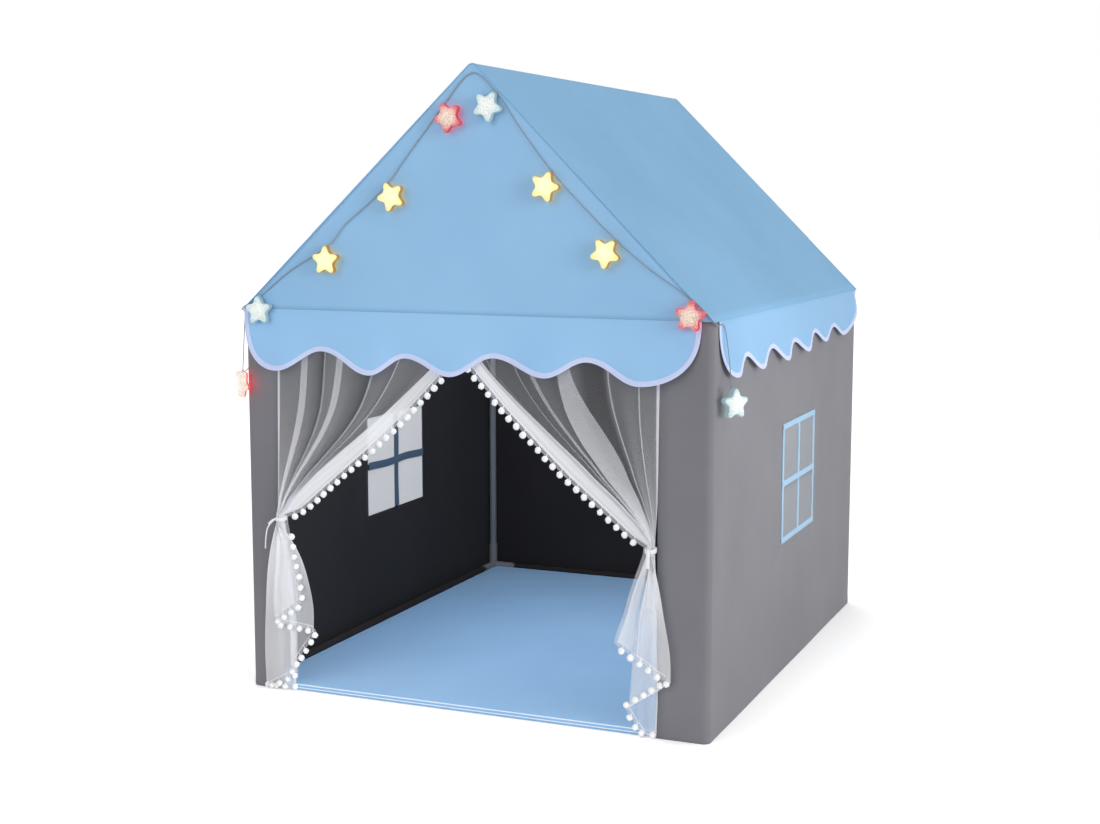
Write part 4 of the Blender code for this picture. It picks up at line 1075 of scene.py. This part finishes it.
def tie_band(side, middle_x):
    """The wound ribbon: an oval loop whose section is a thin strip, with a slight waist."""
    turn = np.linspace(0, 2 * np.pi, 56, endpoint=False)
    wave = 0.0006 * np.sin(3 * turn + 1)
    rise = np.array([-0.0046, -0.0038, -0.0015, 0.0015, 0.0038, 0.0046])
    bulge = np.array([0.0, 0.0007, 0.0010, 0.0010, 0.0007, 0.0])
    cos, sin = np.cos(turn), np.sin(turn)
    x = np.sign(cos) * np.abs(cos) ** 0.75
    y = np.sign(sin) * np.abs(sin) ** 0.75
    outer = np.stack([middle_x + x[:, None] * (0.0100 + bulge + wave[:, None]),
                      knot_y + y[:, None] * (0.0100 + bulge),
                      knot_z + rise[None, :] + 0.0015 * sin[:, None]], axis=-1)
    u, v = np.meshgrid(rise, np.linspace(0, 0.09, 57))
    band = surface(f"tie_band_{side}", outer, np.stack([v, u], axis=-1), wrap_rows=True)
    clad(band, satin)
    thicken(band, 0.0009, 0.0)
    return band


def ribbon_end(name, path, width, thickness=0.0008):
    """A loose ribbon end: a thin flat oval carried along its path, facing the front."""
    path = np.array(path)
    run = np.linspace(0, len(path) - 1, 30)
    fine = averaged(points_at(run, np.arange(len(path)), path), 6)
    face = np.tile([0.0, -1.0, 0.0], (len(fine), 1))
    across = unit(np.cross(unit(np.gradient(fine, axis=0)), face))
    end = carried(name, fine, oval(width / 2, thickness / 2, 8), across, face)
    clad(end, satin)
    return end


for side, facts in curtains.items():
    band = tie_band(side, facts["knot_x"])
    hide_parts(f"curtain_tie_{side}")
    pieces = [band]
    if side == "left":
        pieces.append(ribbon_end("ribbon_end_left", [
            (-0.438, -0.6430, 0.381), (-0.450, -0.6440, 0.372), (-0.461, -0.6430, 0.358),
            (-0.467, -0.6400, 0.335), (-0.4695, -0.6380, 0.312)], 0.0030))
        pieces.append(ribbon_end("ribbon_end_left_2", [
            (-0.436, -0.6432, 0.382), (-0.447, -0.6445, 0.377), (-0.457, -0.6440, 0.368)], 0.0036))
    else:
        pieces.append(ribbon_end("ribbon_end_right", [
            (0.402, -0.6435, 0.384), (0.4015, -0.6450, 0.374), (0.4005, -0.6450, 0.360),
            (0.4000, -0.6445, 0.346)], 0.0085))
    for piece in pieces:
        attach(piece, "tent")

# Star lights
# Ten small translucent plastic stars, moulded round a lamp and filled with glitter, glow
# in coral, warm yellow and ice blue. They clip on a thin clear cord of two twisted wires.


def lit_star(node, middle, facing, pale_from, face_code, tip_code, side_colour_and_shade_code, glitter_share, spill):
    """Translucent moulded polypropylene filled with glitter and lit from inside: the face is
    palest at its middle and takes the colour of the plastic towards its five tips, the sides
    show that colour deep, with painted shade in it on the yellow and ice stars, from the height
    pale_from on ever paler, and the back throws it on the cloth, spill times as bright. middle
    is the star's centre and facing the way its face looks."""
    material, tree = start_material(f"lit glitter plastic of {node}")
    place = add(tree, "TexCoord").outputs["Object"]
    from_middle = add(tree, "VectorMath", {0: place, 1: middle}, operation="SUBTRACT")
    depth = add(tree, "VectorMath", {0: from_middle.outputs[0], 1: facing}, operation="DOT_PRODUCT")
    along = add(tree, "VectorMath", {0: facing, "Scale": depth.outputs["Value"]}, operation="SCALE")
    flat = add(tree, "VectorMath", {0: from_middle.outputs[0], 1: along.outputs[0]},
               operation="SUBTRACT")
    reach = add(tree, "VectorMath", {0: flat.outputs[0]}, operation="LENGTH")
    outer = add(tree, "MapRange", {0: reach.outputs["Value"], 1: 0.007, 2: 0.031},
                interpolation_type="SMOOTHSTEP")
    is_front = add(tree, "MapRange", {0: depth.outputs["Value"], 1: pale_from,
                                      2: pale_from + 0.003},
                   interpolation_type="SMOOTHSTEP")
    is_back = add(tree, "MapRange", {0: depth.outputs["Value"], 1: 0.0026, 2: 0.0006, 3: 1.0,
                                     4: spill})
    glitter = add(tree, "TexVoronoi", {"Vector": place, "Scale": 380.0, "Randomness": 1.0})
    spark = add(tree, "MapRange", {0: glitter.outputs["Distance"], 1: 0.1, 2: 0.6,
                                   3: 1 + glitter_share / 2, 4: 1 - glitter_share})
    face = add(tree, "Mix", {0: outer.outputs[0], 6: linear(face_code), 7: linear(tip_code)},
               data_type="RGBA")
    shade = add(tree, "Mix", {0: is_front.outputs[0], 6: linear(side_colour_and_shade_code), 7: face.outputs[2]},
                data_type="RGBA")
    colour = add(tree, "VectorMath", {0: shade.outputs[2], "Scale": spark.outputs[0]},
                 operation="SCALE")
    base = add(tree, "VectorMath", {0: colour.outputs[0], "Scale": 0.42}, operation="SCALE")
    glow = add(tree, "VectorMath", {0: colour.outputs[0], "Scale": is_back.outputs[0]},
               operation="SCALE")
    bump = add(tree, "Bump", {"Height": spark.outputs[0], "Strength": 0.35, "Distance": 0.0006})
    shader = add(tree, "BsdfPrincipled", {
        "Base Color": base.outputs[0], "Roughness": 0.25, "IOR": 1.49,
        "Emission Color": glow.outputs[0], "Emission Strength": 0.66, "Normal": bump.outputs[0]})
    close_material(tree, shader)
    return material


def star_outline(radius=0.0314, waist=0.0174, tip_half=7.0, count=90, rounds=5):
    """A five-pointed star with blunt tips, tip_half degrees wide to each side: its edges are
    divided evenly, and the corners rounded by averaging each point with its neighbours."""
    turn = np.radians(90 + np.repeat(72 * np.arange(5), 3) + np.tile([-tip_half, tip_half, 36], 5))
    reach = np.tile([radius, radius, waist], 5)
    corner = np.stack([reach * np.cos(turn), reach * np.sin(turn)], axis=1)
    corner = np.vstack([corner, corner[:1]])
    run = length_along(corner)
    at = np.arange(count) * run[-1] / count
    line = points_at(at, run, corner)
    for _ in range(rounds):
        line = (np.roll(line, 1, axis=0) + 2 * line + np.roll(line, -1, axis=0)) / 4
    return line


# Each level of a star, from its back to the crown of its face: size as a share, and height.
star_levels = [(0.80, 0.0), (0.93, 0.0006), (1.0, 0.0028), (1.0, 0.0118), (0.975, 0.0142),
               (0.91, 0.0158), (0.80, 0.0167), (0.62, 0.0175), (0.40, 0.0181), (0.18, 0.0184)]
star_hold, star_back = 0.0302, 0.0015       # from the cord to a star's centre, and to its back
# Colours of the face, the tips and the sides, the glitter's share, and the spill; the yellow
# and ice stars' side colours are darkened with painted shade. star_01, which turns its side to
# the front, is pale up to a deep red rim at its back.
star_finishes = {"red": ("#FBE3D2", "#F2646F", "#DE4450", 0.34, 7.0),
                 "yellow": ("#FFFCCB", "#FDF09A", "#AE7F38", 0.05, 7.0),
                 "ice": ("#F4F9F5", "#CDE6E8", "#9DB9C3", 0.24, 0.6),
                 "star_01": ("#FDF6EA", "#FBE6DA", "#EE3F3C", 0.20, 8.0)}
# The lean of each star's clipped tip to the right of straight up, in degrees, and its finish.
star_kinds = {"star_01": (-36, "red"), "star_02": (-3, "ice"), "star_03": (0, "yellow"),
              "star_04": (-24, "yellow"), "star_05": (-27, "red"), "star_06": (30, "ice"),
              "star_07": (20, "yellow"), "star_08": (39, "yellow"), "star_09": (6, "red"),
              "star_10": (0, "ice")}
hinges = {joint["child"]: joint for joint in frame["joints"]}
outline = star_outline()
up = np.array([0, 0, 1.0])
hook_turn = np.radians(np.linspace(-100, 95, 12))[:, None]
hook_section = oval(0.0009, 0.0005, 8)
cord_clear = moulded_plastic("clear PVC over twisted wire", "#8F979E", 0.3, 2.0)
for node, (lean, kind) in star_kinds.items():
    clip = np.array(hinges[node]["pos_m"])
    facing = np.array(hinges[node]["axis"])
    across = np.array([-facing[1], facing[0], 0.0])
    lean_turn = np.radians(lean)
    tip_way = np.sin(lean_turn) * across + np.cos(lean_turn) * up
    side_way = np.cos(lean_turn) * across - np.sin(lean_turn) * up
    centre = clip - star_hold * tip_way + star_back * facing
    flat = outline[:, :1] * side_way + outline[:, 1:] * tip_way
    rings = np.array([centre + share * flat + height * facing for share, height in star_levels])
    shape = surface(f"{node}_body", rings, wrap_columns=True)
    pale_from = 0.0028 if node in star_finishes else 0.0125
    finish = star_finishes.get(node, star_finishes[kind])
    clad(shape, lit_star(node, centre.tolist(), facing.tolist(), pale_from, *finish))
    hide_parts(node)
    # A clear hook on the tip holds the cord.
    path = clip + 0.0025 * np.cos(hook_turn) * facing + 0.0030 * np.sin(hook_turn) * tip_way
    way_up = np.cos(hook_turn) * facing + np.sin(hook_turn) * tip_way
    hook = carried(f"{node}_hook", path, hook_section, np.tile(side_way, (len(path), 1)), way_up)
    clad(hook, cord_clear)
    for piece in (shape, hook):
        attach(piece, node)

# The cord's route, from the battery case's gland up to the eave, by the left corner to the
# gable, over it, and round the right corner down to the last star.
cord_points = [
    (-0.5257, -0.4000, 0.6345), (-0.5278, -0.4000, 0.6560), (-0.5352, -0.4025, 0.6980),
    (-0.5350, -0.4080, 0.7450), (-0.5248, -0.4320, 0.8150), (-0.5282, -0.4720, 0.7890),
    (-0.5342, -0.5120, 0.7480), (-0.5372, -0.5520, 0.7120), (-0.5362, -0.5890, 0.6915),
    (-0.5334, -0.6094, 0.6900), (-0.5298, -0.6130, 0.7200), (-0.5264, -0.6125, 0.7750),
    (-0.5250, -0.6110, 0.8165), (-0.5238, -0.6236, 0.8235), (-0.5180, -0.6235, 0.8300),
    (-0.4762, -0.6234, 0.8527), (-0.4007, -0.6234, 0.9080), (-0.3100, -0.6234, 0.9601),
    (-0.2697, -0.6234, 1.0033), (-0.2175, -0.6234, 1.0440), (-0.1680, -0.6234, 1.0878),
    (-0.1361, -0.6234, 1.1282), (-0.0856, -0.6234, 1.1877), (-0.0404, -0.6234, 1.2423),
    (0.0205, -0.6234, 1.3010), (0.0737, -0.6234, 1.2611), (0.1224, -0.6234, 1.1935),
    (0.1911, -0.6234, 1.1076), (0.2510, -0.6234, 1.0453), (0.3250, -0.6234, 0.9760),
    (0.3975, -0.6234, 0.9190), (0.4806, -0.6234, 0.8656), (0.5180, -0.6235, 0.8300),
    (0.5240, -0.6236, 0.8235), (0.5252, -0.6080, 0.8180), (0.5246, -0.5740, 0.8180),
    (0.5256, -0.5600, 0.8040), (0.5318, -0.5600, 0.7650), (0.5372, -0.5625, 0.7230),
    (0.5399, -0.5645, 0.6890)]


def smooth_route(points, steps):
    """A smooth curve through the points: cubic pieces whose slopes come from the neighbours,
    timed by the square root of each distance."""
    points = np.array(points)
    apart = np.linalg.norm(np.diff(points, axis=0), axis=1)
    times = np.concatenate([[0], np.cumsum(np.sqrt(apart))])
    low = np.maximum(np.arange(len(points)) - 1, 0)
    high = np.minimum(np.arange(len(points)) + 1, len(points) - 1)
    slopes = (points[high] - points[low]) / (times[high] - times[low])[:, None]
    t = (np.arange(steps) / steps)[None, :, None]
    span = np.diff(times)[:, None, None]
    a, b = points[:-1, None], points[1:, None]
    curve = (a * (1 + 2 * t) * (1 - t) ** 2 + b * t * t * (3 - 2 * t)
             + slopes[:-1, None] * t * (1 - t) ** 2 * span
             + slopes[1:, None] * t * t * (t - 1) * span)
    return np.vstack([curve.reshape(-1, 3), points[-1:]])


cord_step, cord_half, twist_pitch = 0.0016, 0.00125, 0.009
route = smooth_route(cord_points, 24)
path, way = resample(route, cord_step)
path = np.vstack([path, route[-1]])
way = np.vstack([way, way[-1]])
side_way = np.zeros_like(path)
side_way[0] = np.cross(way[0], [0, 1, 0])
for i in range(1, len(path)):
    side_way[i] = side_way[i - 1] - way[i] * np.dot(side_way[i - 1], way[i])
    side_way[i] /= np.linalg.norm(side_way[i])
up_way = np.cross(way, side_way)
turn = np.linspace(0, 2 * np.pi, 12, endpoint=False)
peanut = cord_half * (0.78 + 0.22 * np.cos(2 * turn))
twist = np.arange(len(path)) * cord_step * 2 * np.pi / twist_pitch
angle = turn[None, :] + twist[:, None]
section = np.stack([peanut * np.cos(angle), peanut * np.sin(angle)], axis=-1)
cord = surface("cord_twin", rings_along(path, section, side_way, up_way), wrap_columns=True)
clad(cord, cord_clear)
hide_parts("star_cord")
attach(cord, "tent")

# Battery case
# The lights' battery case is a plain white ABS box on the left wall, closed by a screwed
# cover, with a slide switch in a slot in its front edge and a gland for the cord on top.

case_white = moulded_plastic("white moulded ABS case", "#EDEDEB", 0.38, 1.0)
switch_grey = moulded_plastic("grey moulded switch", "#8D9096", 0.45, 0.7)
dress(case_white, "battery_case", "battery_cover")
dress(switch_grey, "battery_switch")

# Floor, light and camera
# A white studio floor that keeps only the shadow under the tent, darkened near its foot by a
# painted contact shadow from ambient occlusion, a white sky, and three broad soft suns, two
# beside the camera and one behind the tent, so that on every side a colour shows about as it is
# written.


def either(tree, one, other):
    """A node that is 1 where one of two values is."""
    return add(tree, "Math", {0: one, 1: other}, operation="MAXIMUM")


floor_white, tree = start_material("white studio floor with painted contact shadow")
ray = add(tree, "LightPath")
matt = add(tree, "BsdfDiffuse", {"Color": linear("#F4F4F4")})
# The floor's white glow is dimmed near the tent by ambient occlusion: a painted contact shadow.
occlusion_for_painted_shadow = add(tree, "AmbientOcclusion", {"Distance": 0.22})
painted_shadow_gain = add(tree, "MapRange", {0: occlusion_for_painted_shadow.outputs["AO"], 1: 0.35, 2: 0.95, 3: 0.30, 4: 0.565})
white = add(tree, "Emission", {"Color": (1, 1, 1, 1), "Strength": painted_shadow_gain.outputs[0]})
lifted = add(tree, "AddShader", {0: matt.outputs[0], 1: white.outputs[0]})
seen = either(tree, ray.outputs["Is Camera Ray"], ray.outputs["Is Glossy Ray"])
final = add(tree, "MixShader", {0: seen.outputs[0], 1: matt.outputs[0], 2: lifted.outputs[0]})
close_material(tree, final)
mesh = bpy.data.meshes.new("floor")
mesh.from_pydata([(-40, -40, 0), (40, -40, 0), (40, 40, 0), (-40, 40, 0)], [], [(0, 1, 2, 3)])
mesh.materials.append(floor_white)
placed("floor", mesh)

world = bpy.data.worlds.new("white studio")
world.use_nodes = True
tree = world.node_tree
tree.nodes.clear()
ray = add(tree, "LightPath")
soft = add(tree, "Background", {"Color": (1, 1, 1, 1), "Strength": 0.45})
bright = add(tree, "Background", {"Color": (1, 1, 1, 1), "Strength": 1.0})
seen = either(tree, ray.outputs["Is Camera Ray"], ray.outputs["Is Glossy Ray"])
also = either(tree, seen.outputs[0], ray.outputs["Is Transmission Ray"])
mixed = add(tree, "MixShader", {0: also.outputs[0], 1: soft.outputs[0], 2: bright.outputs[0]})
add(tree, "OutputWorld", {"Surface": mixed.outputs[0]})
bpy.context.scene.world = world


def soft_light(name, kind, place, target, **settings):
    """A light of the kind that shines from place to target, with its other settings."""
    data = bpy.data.lights.new(name, kind)
    for key, value in settings.items():
        setattr(data, key, value)
    light = placed(name, data)
    light.location = place
    way = Vector(place) - Vector(target)
    light.rotation_euler = way.to_track_quat("Z", "Y").to_euler()
    return light


for name, place, spread, strength in (("key", (-0.25, -0.93, 0.27), 50, 1.12),
                                      ("fill", (0.96, -0.25, 0.11), 34, 1.84),
                                      ("back", (-0.62, 0.72, 0.30), 50, 1.15)):
    soft_light(name, "SUN", place, (0, 0, 0), angle=np.radians(spread), energy=strength)
# A lamp under the ridge, so that the mat shows its colour inside the dark lining, and one low
# on the right, which lightens the side wall towards the front corner.
for name, place, target, wide, high, power in (
        ("cabin lamp", (0.0, -0.12, 1.06), (0.0, -0.12, 0.0), 0.5, 0.8, 7.6),
        ("side lamp", (1.35, -0.27, 0.60), (0.52, -0.50, 0.60), 0.22, 0.3, 2.4)):
    lamp = soft_light(name, "AREA", place, target, shape="RECTANGLE", size=wide, size_y=high,
                      energy=power)
    lamp.visible_camera = False

camera = bpy.data.cameras.new("camera")
camera.sensor_fit = "HORIZONTAL"
camera.sensor_width = 36.0
camera.lens = 53.51
camera_object = placed("camera", camera)
azimuth, elevation = np.radians(22.772), np.radians(7.430)
look = Vector((-np.sin(azimuth) * np.cos(elevation), np.cos(azimuth) * np.cos(elevation),
                  -np.sin(elevation)))
camera_object.location = (1.4258, -3.5750, 1.0562)
camera_object.rotation_euler = look.to_track_quat("-Z", "Y").to_euler()
bpy.context.scene.camera = camera_object
bpy.context.scene.view_settings.view_transform = "Standard"
